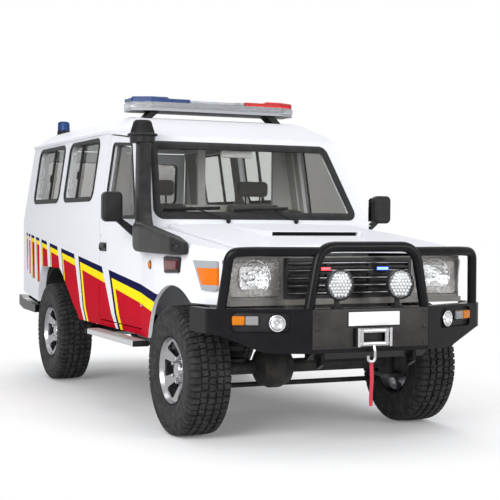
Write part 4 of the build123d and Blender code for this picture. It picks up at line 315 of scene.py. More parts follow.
def lens(name, colour, scale, clear, direction="X"):
    """Moulded lamp lens: partly clear colour with fine optic ribs."""
    made = Finish(name)
    ribs = made.wave(scale, direction)
    tone = made.mix(ribs, colour, darker(colour, 0.72))
    made.set(Base_Color=tone, Roughness=0.08, Transmission_Weight=clear, IOR=1.30)
    made.set(Coat_Weight=0.12, Specular_IOR_Level=0.3)
    return made.bump(ribs, 0.25, 0.001)


def corner_lens():
    """Front corner lamp: an amber wedge in clear borders, and body colour behind its slanted rear edge."""
    made = Finish("corner_lens")
    x, y, z = made.axes()
    low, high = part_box("corner_lamps")
    along = made.ramp(y, 0.0, 1.0, low.y, high.y)
    height = made.ramp(z, 0.0, 1.0, low.z, high.z)
    rear = made.math("SUBTRACT", made.ramp(height, 0.47, 0.86), along)
    ribs = made.wave(150.0, "Y")
    amber = made.mix(ribs, rgb(0.84, 0.20, 0.004), rgb(0.50, 0.090, 0.002))
    pale = made.mix(ribs, rgb(0.40, 0.41, 0.43), rgb(0.22, 0.23, 0.25))
    core = made.all_of(made.over(height, 0.20), made.under(height, 0.76), made.over(rear, 0.07))
    colour = made.mix(made.under(rear, 0.0), made.mix(core, pale, amber), WHITE)
    made.set(Base_Color=colour, Roughness=0.12, Specular_IOR_Level=0.15, Coat_Weight=0.1)
    return made.bump(ribs, 0.15, 0.001)


def crystal_reflector():
    """Bowl behind a lens of small facets, with painted glints: a faint white glow on its facets stands in for
    reflected light.
    """
    made = Finish("crystal_reflector")
    facets = made.noise(75.0, 1.0)
    tone = made.mix(made.ramp(facets, 0.0, 1.0, 0.35, 0.65), rgb(0.95, 0.95, 0.95), rgb(0.60, 0.60, 0.61))
    # painted glints: the emission on the facets stands in for light reflected by the bowl
    made.set(Base_Color=tone, Roughness=0.12, Metallic=1.0, Emission_Color=rgb(1.0, 0.99, 0.97))
    made.set(Emission_Strength=made.ramp(facets, 0.0, 0.55, 0.45, 0.62))
    return made.bump(facets, 0.6, 0.006)


FAIRLEAD_PLATE_Y = -0.8925
BAR_DECK_Z = 2.1125


def fairlead_steel():
    """Plated rollers and hook in front of a dark base plate."""
    made = Finish("fairlead_steel")
    plate = made.over(made.axes()[1], FAIRLEAD_PLATE_Y + AXLE_Y)
    wear = made.mix(made.noise(60.0, 5.0), rgb(0.62, 0.62, 0.63), rgb(0.42, 0.42, 0.43))
    made.set(Base_Color=made.mix(plate, wear, rgb(0.020, 0.020, 0.021)), Roughness=0.20, Metallic=1.0)
    return made.bump(made.noise(90.0, 3.0), 0.05, 0.0006)


def roof_bar_deck():
    """Black legs under a pale grey deck."""
    made = Finish("roof_bar_deck")
    deck = made.over(made.axes()[2], BAR_DECK_Z)
    tone = made.mix(deck, rgb(0.014, 0.014, 0.015), rgb(0.36, 0.37, 0.38))
    made.set(Base_Color=tone, Roughness=made.ramp(made.noise(40.0, 4.0), 0.34, 0.46), Specular_IOR_Level=0.16)
    return made.bump(made.noise(500.0, 2.0), 0.12, 0.001)


def lit(name, colour, strength):
    made = Finish(name)
    glow = made.ramp(made.noise(90.0, 2.0), strength * 0.7, strength * 1.2)
    made.set(Base_Color=colour, Emission_Color=colour, Emission_Strength=glow, Roughness=0.2)
    return made.material


PAINT = body_paint("coach_paint")
PAINT_SIDE = body_paint("coach_paint_livery", LINING)
PAINT_WING = body_paint("coach_paint_wings", UNDERSEAL)
PAINT_SILL = sill_paint()
BAR_BLACK = speckled(
    "bar_powder_coat", (0.005, 0.005, 0.006), (0.008, 0.008, 0.009), 0.22, 650.0, 0.015, shine=0.12
)
# painted sheen: the centre plate's tone, lighter than the bar's black, stands in for its grey reflection
BAR_PLATE = speckled("bar_centre_plate", (0.040, 0.036, 0.034), (0.024, 0.022, 0.021), 0.38, 500.0, 0.06)
PLASTIC = speckled("black_mouldings", (0.012, 0.012, 0.013), (0.022, 0.022, 0.023), 0.42, 700.0, 0.20)
GLOSS_BLACK = speckled(
    "gloss_black", (0.010, 0.010, 0.011), (0.016, 0.016, 0.017), 0.18, 200.0, 0.03, coat=0.12
)
BOLT_STEEL = speckled("dark_bolts", (0.045, 0.045, 0.046), (0.025, 0.025, 0.026), 0.35, 300.0, 0.1, 0.8)
SIGN_WHITE = speckled("blank_sign", (0.80, 0.80, 0.79), (0.74, 0.74, 0.73), 0.25, 200.0, 0.02, coat=0.3)
LAMP_PALE = speckled("lamp_housing", (0.20, 0.19, 0.18), (0.15, 0.14, 0.135), 0.26, 200.0, 0.03, 0.5)
RUBBER = speckled("black_seals", (0.015, 0.015, 0.016), (0.028, 0.028, 0.029), 0.55, 420.0, 0.15)
CHASSIS = speckled("chassis_black", (0.016, 0.016, 0.017), (0.050, 0.047, 0.043), 0.5, 260.0, 0.3)
CAST = speckled("cast_metal", (0.16, 0.16, 0.16), (0.09, 0.088, 0.084), 0.6, 320.0, 0.5, 0.6)
DASH = speckled("dash_moulding", (0.050, 0.047, 0.044), (0.036, 0.034, 0.032), 0.6, 520.0, 0.4)
PALE = speckled("pale_panels", (0.74, 0.73, 0.71), (0.68, 0.67, 0.65), 0.4, 180.0, 0.08)
SILVER = speckled("silver_mouldings", (0.17, 0.16, 0.15), (0.13, 0.125, 0.118), 0.32, 240.0, 0.05, 0.5)
VINYL = speckled("bench_vinyl", (0.060, 0.075, 0.115), (0.045, 0.056, 0.090), 0.45, 300.0, 0.3)
CHROME = brushed("chrome_plate", rgb(0.80, 0.80, 0.81), 0.10, 0.03)
REFLECTOR = brushed("lamp_reflector", rgb(0.90, 0.90, 0.90), 0.08, 0.02)
DIM_PLATE = brushed("dim_plate", rgb(0.24, 0.24, 0.25), 0.20, 0.03)
ALLOY = brushed("wheel_alloy", rgb(0.42, 0.42, 0.44), 0.20, 0.08, (0.2, 1.0, 1.0))
ALUMINIUM = brushed("step_aluminium", rgb(0.62, 0.63, 0.65), 0.32, 0.15, (1.0, 0.03, 1.0))
MIRROR = brushed("mirror_glass", rgb(0.86, 0.87, 0.88), 0.05, 0.0)
CRYSTAL = crystal_reflector()
FAIRLEAD = fairlead_steel()
TYRE = tyre_rubber()
CLOTH = woven("seat_cloth", rgb(0.135, 0.125, 0.112), rgb(0.085, 0.078, 0.070), 260.0)
SCREEN_GLASS = pane("screen_glass", rgb(0.74, 0.75, 0.74), 0.0, 1.17, 1.0)
TINT_GLASS = pane("tinted_glass", rgb(0.34, 0.33, 0.32), 0.0, 1.25)
CLEAR_LENS = pane("clear_lens", rgb(0.95, 0.96, 0.97), 0.01, 1.22)
AMBER = lens("amber_lens", rgb(0.90, 0.27, 0.008), 160.0, 0.35)
CORNER_LENS = corner_lens()
LAMP_FROST = lens("frosted_lens", rgb(0.86, 0.87, 0.88), 260.0, 0.7)
STROBE_RED = lens("strobe_red", rgb(0.12, 0.004, 0.007), 210.0, 0.0, "Y")
RED_LENS = lens("red_lens", rgb(0.70, 0.010, 0.012), 120.0, 0.4)
BLUE_LENS = lens("blue_lens", rgb(0.003, 0.050, 0.22), 120.0, 0.30)
BAR_LENS = lens("roof_bar_lens", rgb(0.66, 0.68, 0.70), 95.0, 0.70)
BAR_DECK = roof_bar_deck()
RED_GLOW = lit("red_strobe", rgb(1.0, 0.03, 0.04), 4.0)
BLUE_GLOW = lit("blue_strobe", rgb(0.08, 0.14, 1.0), 6.0)

NODE_FINISH = {
    PAINT: ["hood", "cowl_frame", "roof_cap", "rear_door_left", "rear_door_right"],
    PAINT_SIDE: ["quarter_left", "quarter_right", "door_left", "door_right"],
    PAINT_WING: ["fender_left", "fender_right"],
    PAINT_SILL: ["floor_pan"],
    SCREEN_GLASS: ["fixed_glass"],
    TINT_GLASS: ["door_glass_left", "door_glass_right", "rear_glass_left", "rear_glass_right"],
    SILVER: ["front_panel"],
    GLOSS_BLACK: ["grille"],
    CLEAR_LENS: ["front_lamps", "light_bar_clear"],
    CORNER_LENS: ["corner_lamps"],
    BAR_BLACK: ["bull_bar", "bar_hoops", "rear_bumper"],
    PLASTIC: ["driving_lamps", "snorkel", "mirror_left", "mirror_right"],
    BAR_DECK: ["light_bar"],
    FAIRLEAD: ["fairlead"],
    BLUE_LENS: ["blue_lenses"],
    RED_LENS: ["red_lenses", "tail_lamps"],
    ALUMINIUM: ["side_steps"],
    RUBBER: ["mud_flaps"],
    DASH: ["dashboard", "steering_wheel"],
    CLOTH: ["front_seats"],
    PALE: ["partition", "rear_benches"],
    CAST: ["powertrain", "knuckle_left", "knuckle_right"],
    CHASSIS: ["chassis_frame", "front_axle", "rear_axle", "springs", "tie_rod"],
    TYRE: ["spare_tyre"] + ["tyre_" + wheel for wheel in WHEELS],
    ALLOY: ["spare_rim"] + ["rim_" + wheel for wheel in WHEELS],
}
for finish, names in NODE_FINISH.items():
    for name in names:
        NODES[name].data.materials.clear()
        NODES[name].data.materials.append(finish)


# Camera, light and floor

CAMERA_AT = (-3.492, -6.980, 1.283)
CAMERA_YAW = radians(24.38)
CAMERA_PITCH = radians(-1.81)
CAMERA_ROLL = radians(0.34)
CAMERA_LENS = 88.29
CAMERA_SHIFT = (-0.012, 0.029)
LIGHT_TABLE = [
    # name, place, target, width and height, energy
    ("key", (-6.2, -6.0, 3.9), (0.0, -0.5, 0.9), (5.0, 4.0), 540.0),
    ("overhead", (0.5, 0.5, 7.5), (0.0, 0.0, 0.0), (7.0, 7.0), 230.0),
    ("front_fill", (3.5, -8.0, 2.4), (0.0, -1.5, 0.8), (3.5, 3.0), 170.0),
    ("rear_fill", (2.0, 7.0, 4.0), (0.0, 1.0, 1.0), (5.0, 3.0), 220.0),
]
WORLD_COLOUR = rgb(0.93, 0.95, 1.0)
WORLD_STRENGTH = 0.42
FLOOR_EDGE = 40.0


def make_camera():
    ahead = cos(CAMERA_PITCH)
    forward = Vector((sin(CAMERA_YAW) * ahead, cos(CAMERA_YAW) * ahead, sin(CAMERA_PITCH)))
    level = Vector((cos(CAMERA_YAW), -sin(CAMERA_YAW), 0.0))
    upward = level.cross(forward)
    right = cos(CAMERA_ROLL) * level + sin(CAMERA_ROLL) * upward
    up = cos(CAMERA_ROLL) * upward - sin(CAMERA_ROLL) * level
    data = bpy.data.cameras.new("camera")
    data.lens = CAMERA_LENS
    data.sensor_width = 36.0
    data.shift_x, data.shift_y = CAMERA_SHIFT
    data.clip_end = 200.0
    camera = add_object("camera", data)
    turn = Matrix((right, up, -forward)).transposed()
    camera.matrix_world = Matrix.Translation(at(*CAMERA_AT)) @ turn.to_4x4()
    SCENE.camera = camera


def area_light(name, place, target, size, energy):
    data = bpy.data.lights.new(name, "AREA")
    data.shape = "RECTANGLE"
    data.size, data.size_y = size
    data.energy = energy
    lamp = add_object(name, data)
    lamp.location = place
    lamp.rotation_mode = "QUATERNION"
    lamp.rotation_quaternion = (Vector(target) - Vector(place)).to_track_quat("-Z", "Y")


def seen_by_eye(tree):
    """1 on rays that show the background: straight from the camera, in a reflection or through glass."""
    path = tree.nodes.new("ShaderNodeLightPath")
    total = path.outputs["Is Camera Ray"]
    for name in ("Is Glossy Ray", "Is Transmission Ray"):
        either = tree.nodes.new("ShaderNodeMath")
        either.operation = "MAXIMUM"
        tree.links.new(total, either.inputs[0])
        tree.links.new(path.outputs[name], either.inputs[1])
        total = either.outputs[0]
    return total


def make_world():
    world = bpy.data.worlds.new("studio")
    world.use_nodes = True
    tree = world.node_tree
    light = tree.nodes["Background"]
    seen = tree.nodes.new("ShaderNodeBackground")
    for node, colour, strength in ((light, WORLD_COLOUR, WORLD_STRENGTH), (seen, rgb(1.0, 1.0, 1.0), 1.0)):
        node.inputs["Color"].default_value = colour
        node.inputs["Strength"].default_value = strength
    show_mix(tree, seen_by_eye(tree), light, seen, "World Output")
    SCENE.world = world


def make_floor():
    """Pale floor that takes the shadow near the vehicle and turns plain white further out."""
    made = Finish("studio_floor")
    made.set(Base_Color=rgb(0.97, 0.97, 0.97), Roughness=0.75, Specular_IOR_Level=0.15)
    x, y, z = made.axes()
    wide = made.math("POWER", made.math("MULTIPLY", x, 0.55), 2.0)
    long = made.math("POWER", made.math("MULTIPLY", y, 0.34), 2.0)
    far = made.ramp(made.math("SQRT", made.math("ADD", wide, long)), 0.12, 1.0, 0.75, 1.5)
    plain = made.node("ShaderNodeEmission", Strength=1.0)
    show_mix(made.tree, made.all_of(far, seen_by_eye(made.tree)), made.shader, plain, "Material Output")
    mesh = bpy.data.meshes.new("studio_floor")
    corners = [(FLOOR_EDGE * x, FLOOR_EDGE * y, 0.0) for x, y in ((-1, -1), (1, -1), (1, 1), (-1, 1))]
    mesh.from_pydata(corners, [], [(0, 1, 2, 3)])
    mesh.materials.append(made.material)
    add_object("studio_floor", mesh)


make_camera()
make_world()
make_floor()
SCENE.view_settings.view_transform = "Standard"
for row in LIGHT_TABLE:
    area_light(*row)


# Mesh helpers

MIRROR_X = Matrix.Diagonal((-1.0, 1.0, 1.0, 1.0))


def put_piece(name, mesh, finish, body=SHELL, smooth=35, replaces=()):
    """Adds a piece; its slot follows from its finish."""
    mesh.name = name
    mesh.materials.clear()
    mesh.materials.append(finish)
    piece = add_object(name, mesh)
    mesh.shade_smooth()
    mesh.set_sharp_from_angle(angle=radians(smooth))
    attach(piece, body)
    if replaces:
        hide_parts(*replaces)
    return piece


def turned_mesh(mesh, matrix):
    copy = mesh.copy()
    copy.transform(matrix)
    if matrix.determinant() < 0:
        copy.flip_normals()
    return copy


def pair(name, mesh, finish, body=SHELL, smooth=35, replaces=()):
    """The same piece on both sides, built on the left. A %s in the body's name stands for the side."""
    pieces = []
    for side, sign in SIDES.items():
        matrix = Matrix.Identity(4) if sign > 0 else MIRROR_X
        rider = body % side if "%s" in body else body
        copy = turned_mesh(mesh, matrix)
        pieces.append(put_piece("%s_%s" % (name, side), copy, finish, rider, smooth, replaces))
    return pieces


def placed(name, mesh, spot, finish, smooth):
    """The same piece on both sides, facing forward at a spot that is given for the left."""
    for side, sign in SIDES.items():
        place = facing(at(sign * spot[0], spot[1], spot[2]), FORWARD)
        put_piece("%s_%s" % (name, side), turned_mesh(mesh, place), finish, smooth=smooth)


def mesh_of(*steps):
    """New mesh from steps, each a function and its values; doubles merged and faces turned outwards."""
    shape = bmesh.new()
    for build, *values in steps:
        build(shape, *values)
    bmesh.ops.remove_doubles(shape, verts=shape.verts, dist=1e-6)
    bmesh.ops.recalc_face_normals(shape, faces=shape.faces)
    mesh = bpy.data.meshes.new("mesh")
    shape.to_mesh(mesh)
    shape.free()
    return mesh


def joined(meshes):
    shape = bmesh.new()
    for mesh in meshes:
        shape.from_mesh(mesh)
    made = bpy.data.meshes.new("joined")
    shape.to_mesh(made)
    shape.free()
    return made


def bridge(shape, loops, closed=False, capped=False):
    """Faces from each loop of points to the next; a loop of one repeated point makes a tip."""
    pairs = list(zip(loops, loops[1:]))
    if closed:
        pairs.append((loops[-1], loops[0]))
    for first, second in pairs:
        count = len(first)
        for n in range(count):
            after = (n + 1) % count
            corners = list(dict.fromkeys((first[n], first[after], second[after], second[n])))
            if len(corners) > 2:
                shape.faces.new(corners)
    if capped:
        shape.faces.new(loops[0])
        shape.faces.new(loops[-1])


def rounded_box(shape, centre, size, radius, segments=3, turn=None):
    old = set(shape.verts)
    verts = bmesh.ops.create_cube(shape, size=1.0)["verts"]
    bmesh.ops.scale(shape, vec=Vector(size), verts=verts)
    edges = list(dict.fromkeys(e for v in verts for e in v.link_edges))
    bmesh.ops.bevel(
        shape, geom=edges, offset=radius, segments=segments, profile=0.5, affect="EDGES", clamp_overlap=True
    )
    matrix = Matrix.Translation(Vector(centre))
    if turn is not None:
        matrix = matrix @ turn.to_4x4()
    bmesh.ops.transform(shape, matrix=matrix, verts=[v for v in shape.verts if v not in old])


def lathe(shape, profile, steps, place=Matrix.Identity(4), closed=False):
    """Surface of revolution about local Z; profile is a list of (radius, height)."""
    turns = [2 * pi * n / steps for n in range(steps)]
    rings = []
    for radius, height in profile:
        if radius < 1e-6:
            ring = [shape.verts.new(place @ Vector((0.0, 0.0, height)))] * steps
        else:
            spots = [Vector((radius * cos(turn), radius * sin(turn), height)) for turn in turns]
            ring = [shape.verts.new(place @ spot) for spot in spots]
        rings.append(ring)
    bridge(shape, rings, closed)


def rounded(points, radius, steps=6):
    """Outline with each corner replaced by an arc of that radius."""
    made = []
    count = len(points)
    for n in range(count):
        corner = Vector(points[n])
        back = (Vector(points[n - 1]) - corner).normalized()
        ahead = (Vector(points[(n + 1) % count]) - corner).normalized()
        half = back.angle(ahead) / 2
        reach = radius / max(0.05, tan(half))
        middle = corner + (back + ahead).normalized() * (radius / sin(half))
        start = corner + back * reach - middle
        end = corner + ahead * reach - middle
        sweep = start.angle_signed(end)
        for k in range(steps + 1):
            share = sweep * k / steps
            made.append(middle + Vector((
                start.x * cos(share) + start.y * sin(share),
                start.y * cos(share) - start.x * sin(share),
            )))
    return made


def inset(points, distance):
    """Outline moved inwards by a distance; points run anticlockwise."""
    made = []
    count = len(points)
    for n in range(count):
        corner = Vector(points[n])
        back = (corner - Vector(points[n - 1])).normalized()
        ahead = (Vector(points[(n + 1) % count]) - corner).normalized()
        left_back = Vector((-back.y, back.x))
        left_ahead = Vector((-ahead.y, ahead.x))
        bisector = (left_back + left_ahead).normalized()
        made.append(corner + bisector * (distance / max(0.2, bisector.dot(left_back))))
    return made


def outline_loop(shape, outline, moved, corner, surface, lift):
    """Points of an outline moved inwards, with round corners, standing off a surface by a lift."""
    return [shape.verts.new(surface(p, lift)) for p in rounded(inset(outline, moved), corner)]


SEAL_SUNK = 0.004
SEAL_SECTION = [
    # share of the width, share of the height
    (0.0, 0.35), (0.22, 0.85), (0.5, 1.0), (0.78, 0.85), (1.0, 0.35),
]


def seal_ring(shape, outline, width, height, surface, corner, grow):
    """A rubber seal round an opening: a low crowned band that follows the outline on a surface."""
    crest = [(share, rise * height) for share, rise in SEAL_SECTION]
    loops = []
    for share, lift in [(0.0, -SEAL_SUNK)] + crest + [(1.0, -SEAL_SUNK)]:
        moved = share * width - grow
        loops.append(outline_loop(shape, outline, moved, max(0.004, corner - moved), surface, lift))
    bridge(shape, loops, closed=True)


def lens_shell(shape, outline, corner, surface, levels, thickness):
    """A thin moulded cover over an outline; levels are (inset, lift) from the rim to the middle."""
    rims = []
    for drop in (0.0, thickness):
        loops = []
        for moved, lift in levels:
            radius = max(0.003, corner - 0.6 * moved)
            loops.append(outline_loop(shape, outline, moved + 0.4 * drop, radius, surface, lift - drop))
        bridge(shape, loops)
        shape.faces.new(loops[-1])
        rims.append(loops[0])
    bridge(shape, rims)


def tube_along(shape, points, radius, sides=10):
    """Round bar along a list of points, with mitred corners."""
    points = [Vector(p) for p in points]
    rings = []
    side = None
    for n, point in enumerate(points):
        ahead = points[min(n + 1, len(points) - 1)] - point
        back = point - points[max(n - 1, 0)]
        along = (ahead.normalized() + back.normalized()).normalized()
        if side is None:
            side = along.orthogonal().normalized()
        side = (side - along * side.dot(along)).normalized()
        other = along.cross(side)
        turns = [2 * pi * k / sides for k in range(sides)]
        rings.append([shape.verts.new(point + radius * (cos(a) * side + sin(a) * other)) for a in turns])
    bridge(shape, rings, capped=True)


def smooth_path(points, radius, steps):
    """Points of a 3-D line with its corners rounded."""
    points = [Vector(p) for p in points]
    made = [points[0]]
    for before, corner, after in zip(points, points[1:], points[2:]):
        back = before - corner
        ahead = after - corner
        reach = min(radius, 0.45 * back.length, 0.45 * ahead.length)
        start = corner + back.normalized() * reach
        end = corner + ahead.normalized() * reach
        for k in range(steps + 1):
            t = k / steps
            made.append((1 - t) ** 2 * start + 2 * t * (1 - t) * corner + t * t * end)
    made.append(points[-1])
    return made


def bar_on(shape, surface, start, end, width, height, sunk=0.003, chamfer=0.3):
    """A flat bar with bevelled edges that lies on a surface between two of its points."""
    start = Vector(start)
    end = Vector(end)
    along = (end - start).normalized()
    across = Vector((-along.y, along.x))
    ease = chamfer * min(width, height)
    slope = 0.5 - ease / width
    section = [
        # share of the width, lift, distance from the end
        (-0.5, -sunk, 0.0), (-0.5, height - ease, 0.0), (-slope, height, ease),
        (slope, height, ease), (0.5, height - ease, 0.0), (0.5, -sunk, 0.0),
    ]
    rings = []
    for point, inward in ((start, 1.0), (end, -1.0)):
        ring = []
        for side, lift, back in section:
            spot = point + across * (side * width) + along * (inward * back)
            ring.append(shape.verts.new(surface(spot, lift)))
        rings.append(ring)
    bridge(shape, rings, capped=True)


def facing(place, direction):
    """Matrix that puts local Z along a direction at a place."""
    return Matrix.Translation(place) @ Vector(direction).to_track_quat("Z", "Y").to_matrix().to_4x4()


def hex_head(shape, place, size, height):
    """Bolt head on its washer."""
    lathe(shape, [(0.0, 0.0), (1.35 * size, 0.0), (1.35 * size, 0.0016), (0.9 * size, 0.002)], 16, place)
    lathe(shape, [(size, 0.001), (size, height), (0.82 * size, 1.2 * height), (0.0, 1.2 * height)], 6, place)


def evaluated(source):
    """Plain mesh of an object with its modifiers; the object goes."""
    made = bpy.data.meshes.new_from_object(source.evaluated_get(bpy.context.evaluated_depsgraph_get()))
    bpy.data.objects.remove(source)
    return made


def with_modifier(mesh, kind, **settings):
    """New mesh from a mesh with one modifier applied."""
    source = add_object("modifier_source", mesh)
    modifier = source.modifiers.new("shape", kind)
    for key, value in settings.items():
        setattr(modifier, key, value)
    return evaluated(source)


# Geometry Nodes trees that repeat the object's own mesh, each copy a step further round or along

REPEAT_SOCKETS = {"Geometry": "Geometry", "Count": "Int", "Step": "Vector", "Material": "Material"}
REPEAT_NODES = {
    "source": "NodeGroupInput",
    "points": "GeometryNodePoints",
    "index": "GeometryNodeInputIndex",
    "step": "ShaderNodeVectorMath",
    "copies": "GeometryNodeInstanceOnPoints",
    "real": "GeometryNodeRealizeInstances",
    "finish": "GeometryNodeSetMaterial",
    "result": "NodeGroupOutput",
}
REPEAT_LINKS = [
    # from a node and its socket, to a node and its socket
    ("source", "Count", "points", "Count"),
    ("source", "Step", "step", 0),
    ("index", 0, "step", "Scale"),
    ("source", "Geometry", "copies", "Instance"),
    ("points", 0, "copies", "Points"),
    ("copies", 0, "real", 0),
    ("real", 0, "finish", "Geometry"),
    ("source", "Material", "finish", "Material"),
    ("finish", 0, "result", 0),
]


def repeat_tree(name, node_moved, socket_moved):
    tree = bpy.data.node_groups.new(name, "GeometryNodeTree")
    for label, kind in REPEAT_SOCKETS.items():
        tree.interface.new_socket(label, in_out="INPUT", socket_type="NodeSocket" + kind)
    tree.interface.new_socket("Geometry", in_out="OUTPUT", socket_type="NodeSocketGeometry")
    nodes = {key: tree.nodes.new(kind) for key, kind in REPEAT_NODES.items()}
    nodes["step"].operation = "SCALE"
    for start, output, end, into in REPEAT_LINKS + [("step", 0, node_moved, socket_moved)]:
        tree.links.new(nodes[start].outputs[output], nodes[end].inputs[into])
    return tree


TURN_TREE = repeat_tree("repeat_round_axle", "copies", "Rotation")
ROW_TREE = repeat_tree("repeat_in_row", "points", "Position")


def repeated(mesh, tree, count, step, finish):
    """Plain mesh of the copies that a repeat tree makes of a mesh."""
    source = add_object("repeat_source", mesh)
    modifier = source.modifiers.new("repeat", "NODES")
    modifier.node_group = tree
    names = {item.name: item.identifier for item in tree.interface.items_tree if item.in_out == "INPUT"}
    modifier[names["Count"]] = count
    modifier[names["Step"]] = step
    modifier[names["Material"]] = finish
    return evaluated(source)


# Wheels: a carcass turned about the axle, two rows of shoulder lugs, three rows of blocks, nuts and a cap

TO_X = Matrix.Rotation(pi / 2, 4, "Y")
TREAD_PITCHES = 30
TREAD_STEP = 2 * pi / TREAD_PITCHES
TREAD_LOW = 0.383
CROWN_CLEAR = 0.0008
CROWN_DROP = 0.006
CROWN_HALF = 0.12
CARCASS = [
    # radius, place along the axle
    (0.2065, -0.104), (0.214, -0.119), (0.222, -0.1215), (0.2235, -0.1195), (0.244, -0.1245),
    (0.262, -0.1290), (0.300, -0.1320), (0.318, -0.1318), (0.3195, -0.1325), (0.326, -0.1325),
    (0.3275, -0.1310), (0.350, -0.1275), (0.368, -0.1210), (0.380, -0.1080), (0.3835, -0.0850), (0.385, 0.0),
]
BLOCK_TABLE = [
    # outline across the tread and along the circumference as a share of a pitch, one list for each block
    [(-0.021, 0.04), (0.012, 0.00), (0.023, 0.22), (0.010, 0.44), (-0.024, 0.40), (-0.014, 0.22)],
    [(-0.012, 0.52), (0.022, 0.49), (0.015, 0.72), (0.024, 0.92), (-0.010, 0.96), (-0.024, 0.72)],
    [(0.033, 0.12), (0.064, 0.06), (0.070, 0.28), (0.062, 0.50), (0.030, 0.54), (0.036, 0.32)],
    [(0.030, 0.64), (0.066, 0.58), (0.062, 0.80), (0.070, 1.00), (0.036, 1.05), (0.028, 0.84)],
    [(-0.064, 0.00), (-0.033, 0.06), (-0.030, 0.28), (-0.038, 0.48), (-0.070, 0.44), (-0.062, 0.22)],
    [(-0.070, 0.52), (-0.034, 0.58), (-0.038, 0.78), (-0.028, 0.99), (-0.062, 0.94), (-0.068, 0.74)],
]
BLOCK_LEVELS = [
    # share of the block's height, share of its outline
    (0.0, 1.04), (0.82, 0.97), (1.0, 0.90),
]
LUG_TABLE = [
    # start and end along the circumference, and the radius where the lug ends on the sidewall
    (0.03, 0.42, 0.338),
    (0.53, 0.90, 0.352),
]
LUG_EASE = 0.02
LUG_END = 0.72
NUTS = 6
NUT = [(0.0105, 0.0), (0.0105, 0.014), (0.0085, 0.020), (0.0, 0.021)]
NUT_PLACE = Matrix.Translation((0.065, 0.0, 0.072)) @ TO_X
CAP = [
    (0.047, 0.0), (0.047, 0.016), (0.044, 0.021), (0.040, 0.0225), (0.036, 0.021), (0.012, 0.024),
    (0.0, 0.0245),
]
CAP_PLACE = Matrix.Translation((0.060, 0.0, 0.0)) @ TO_X


def on_tyre(across, share, radius):
    angle = share * TREAD_STEP
    return Vector((across, -radius * sin(angle), radius * cos(angle)))


def crown(across):
    return TYRE_R - CROWN_CLEAR - CROWN_DROP * (across / CROWN_HALF) ** 2


def tread_block(shape, outline):
    middle_x = sum(p[0] for p in outline) / len(outline)
    middle_s = sum(p[1] for p in outline) / len(outline)
    levels = []
    for lift, size in BLOCK_LEVELS:
        loop = []
        for x, s in outline:
            x_in = middle_x + (x - middle_x) * size
            s_in = middle_s + (s - middle_s) * size
            loop.append(shape.verts.new(on_tyre(x_in, s_in, TREAD_LOW + lift * (crown(x_in) - TREAD_LOW))))
        levels.append(loop)
    bridge(shape, levels)
    shape.faces.new(levels[-1])


def tread_lug(shape, side, start, end, foot):
    if side < 0:
        start, end = 1.0 - end, 1.0 - start
    over = [
        (0.076, crown(0.076)), (0.098, crown(0.098)), (0.114, crown(0.114) - 0.002), (0.1235, 0.3800),
        (0.1305, 0.3620), (0.1322, foot), (0.1290, foot - 0.004),
    ]
    under = [
        (0.074, TREAD_LOW), (0.098, 0.3805), (0.108, 0.3785), (0.116, 0.3720), (0.122, 0.3600),
        (0.127, foot + 0.002), (0.127, foot - 0.004),
    ]
    loops = []
    for share, keep in ((start, LUG_END), (start + LUG_EASE, 1.0), (end - LUG_EASE, 1.0), (end, LUG_END)):
        outer = [
            on_tyre(side * (low_x + (x - low_x) * keep), share, low_r + (r - low_r) * keep)
            for (x, r), (low_x, low_r) in zip(over, under)
        ]
        inner = [on_tyre(side * x, share, r) for x, r in reversed(under)]
        loops.append([shape.verts.new(p) for p in outer + inner])
    bridge(shape, loops, capped=True)


def tyre_mesh():
    carcass = mesh_of((lathe, CARCASS + [(r, -x) for r, x in reversed(CARCASS[:-1])], 96, TO_X))
    blocks = [(tread_block, outline) for outline in BLOCK_TABLE]
    lugs = [(tread_lug, side, *lug) for side in (-1.0, 1.0) for lug in LUG_TABLE]
    tread = repeated(mesh_of(*blocks, *lugs), TURN_TREE, TREAD_PITCHES, (TREAD_STEP, 0.0, 0.0), TYRE)
    return joined([carcass, tread])


def make_wheels():
    tyre = tyre_mesh()
    nuts = repeated(mesh_of((lathe, NUT, 6, NUT_PLACE)), TURN_TREE, NUTS, (2 * pi / NUTS, 0.0, 0.0), CHROME)
    cap = mesh_of((lathe, CAP, 40, CAP_PLACE))
    for wheel in WHEELS:
        end, side = wheel.split("_")
        y = 0.0 if end == "front" else WHEELBASE
        turn = Matrix.Rotation(0.0 if side == "left" else pi, 4, "Z")
        place = Matrix.Translation(at(SIDES[side] * TRACKS[end] / 2, y, TYRE_R)) @ turn
        body = "wheel_" + wheel
        put_piece("tyre_tread_" + wheel, turned_mesh(tyre, place), TYRE, body, replaces=["tyre_" + wheel])
        put_piece("wheel_nuts_" + wheel, turned_mesh(nuts, place), CHROME, body, 30)
        put_piece("wheel_cap_" + wheel, turned_mesh(cap, place), ALLOY, body, 30)
    low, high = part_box("spare_tyre")
    place = Matrix.Translation((low + high) / 2) @ Matrix.Rotation(pi / 2, 4, "Z")
    put_piece("spare_tread", turned_mesh(tyre, place), TYRE, "back_door_right", replaces=["spare_tyre"])
    put_piece("spare_nuts", turned_mesh(nuts, place), CHROME, "back_door_right", 30)


make_wheels()


# Surfaces that the trim follows

BODY_HALF = 0.845
GUTTER_HALF = 0.750
BELT_Z = 1.310
GUTTER_Z = 1.955
SIDE_LEAN = (BODY_HALF - GUTTER_HALF) / (GUTTER_Z - BELT_Z)
REAR_Y = 3.970
REAR_LEAN = 0.040
SCREEN_SLOPE = 0.648
SCREEN_FOOT = (0.644, 1.290)
SCREEN_OUT = Vector((0.0, -1.0, SCREEN_SLOPE)).normalized()
NOSE_Y = -0.600
WING_ALONG = Vector((0.9137, 0.4065, 0.0))
WING_OUT = Vector((0.4065, -0.9137, 0.0))
WING_TURN = Matrix((WING_ALONG, Vector((0.0, 0.0, 1.0)), WING_OUT)).transposed()
WING_MIDDLE = at(0.644, -0.764, 0.0)
FENDER_X = 0.886
FENDER_BEND = 0.330
FENDER_END = 0.674
FENDER_EASE = 0.004
FENDER_FALL = 0.034


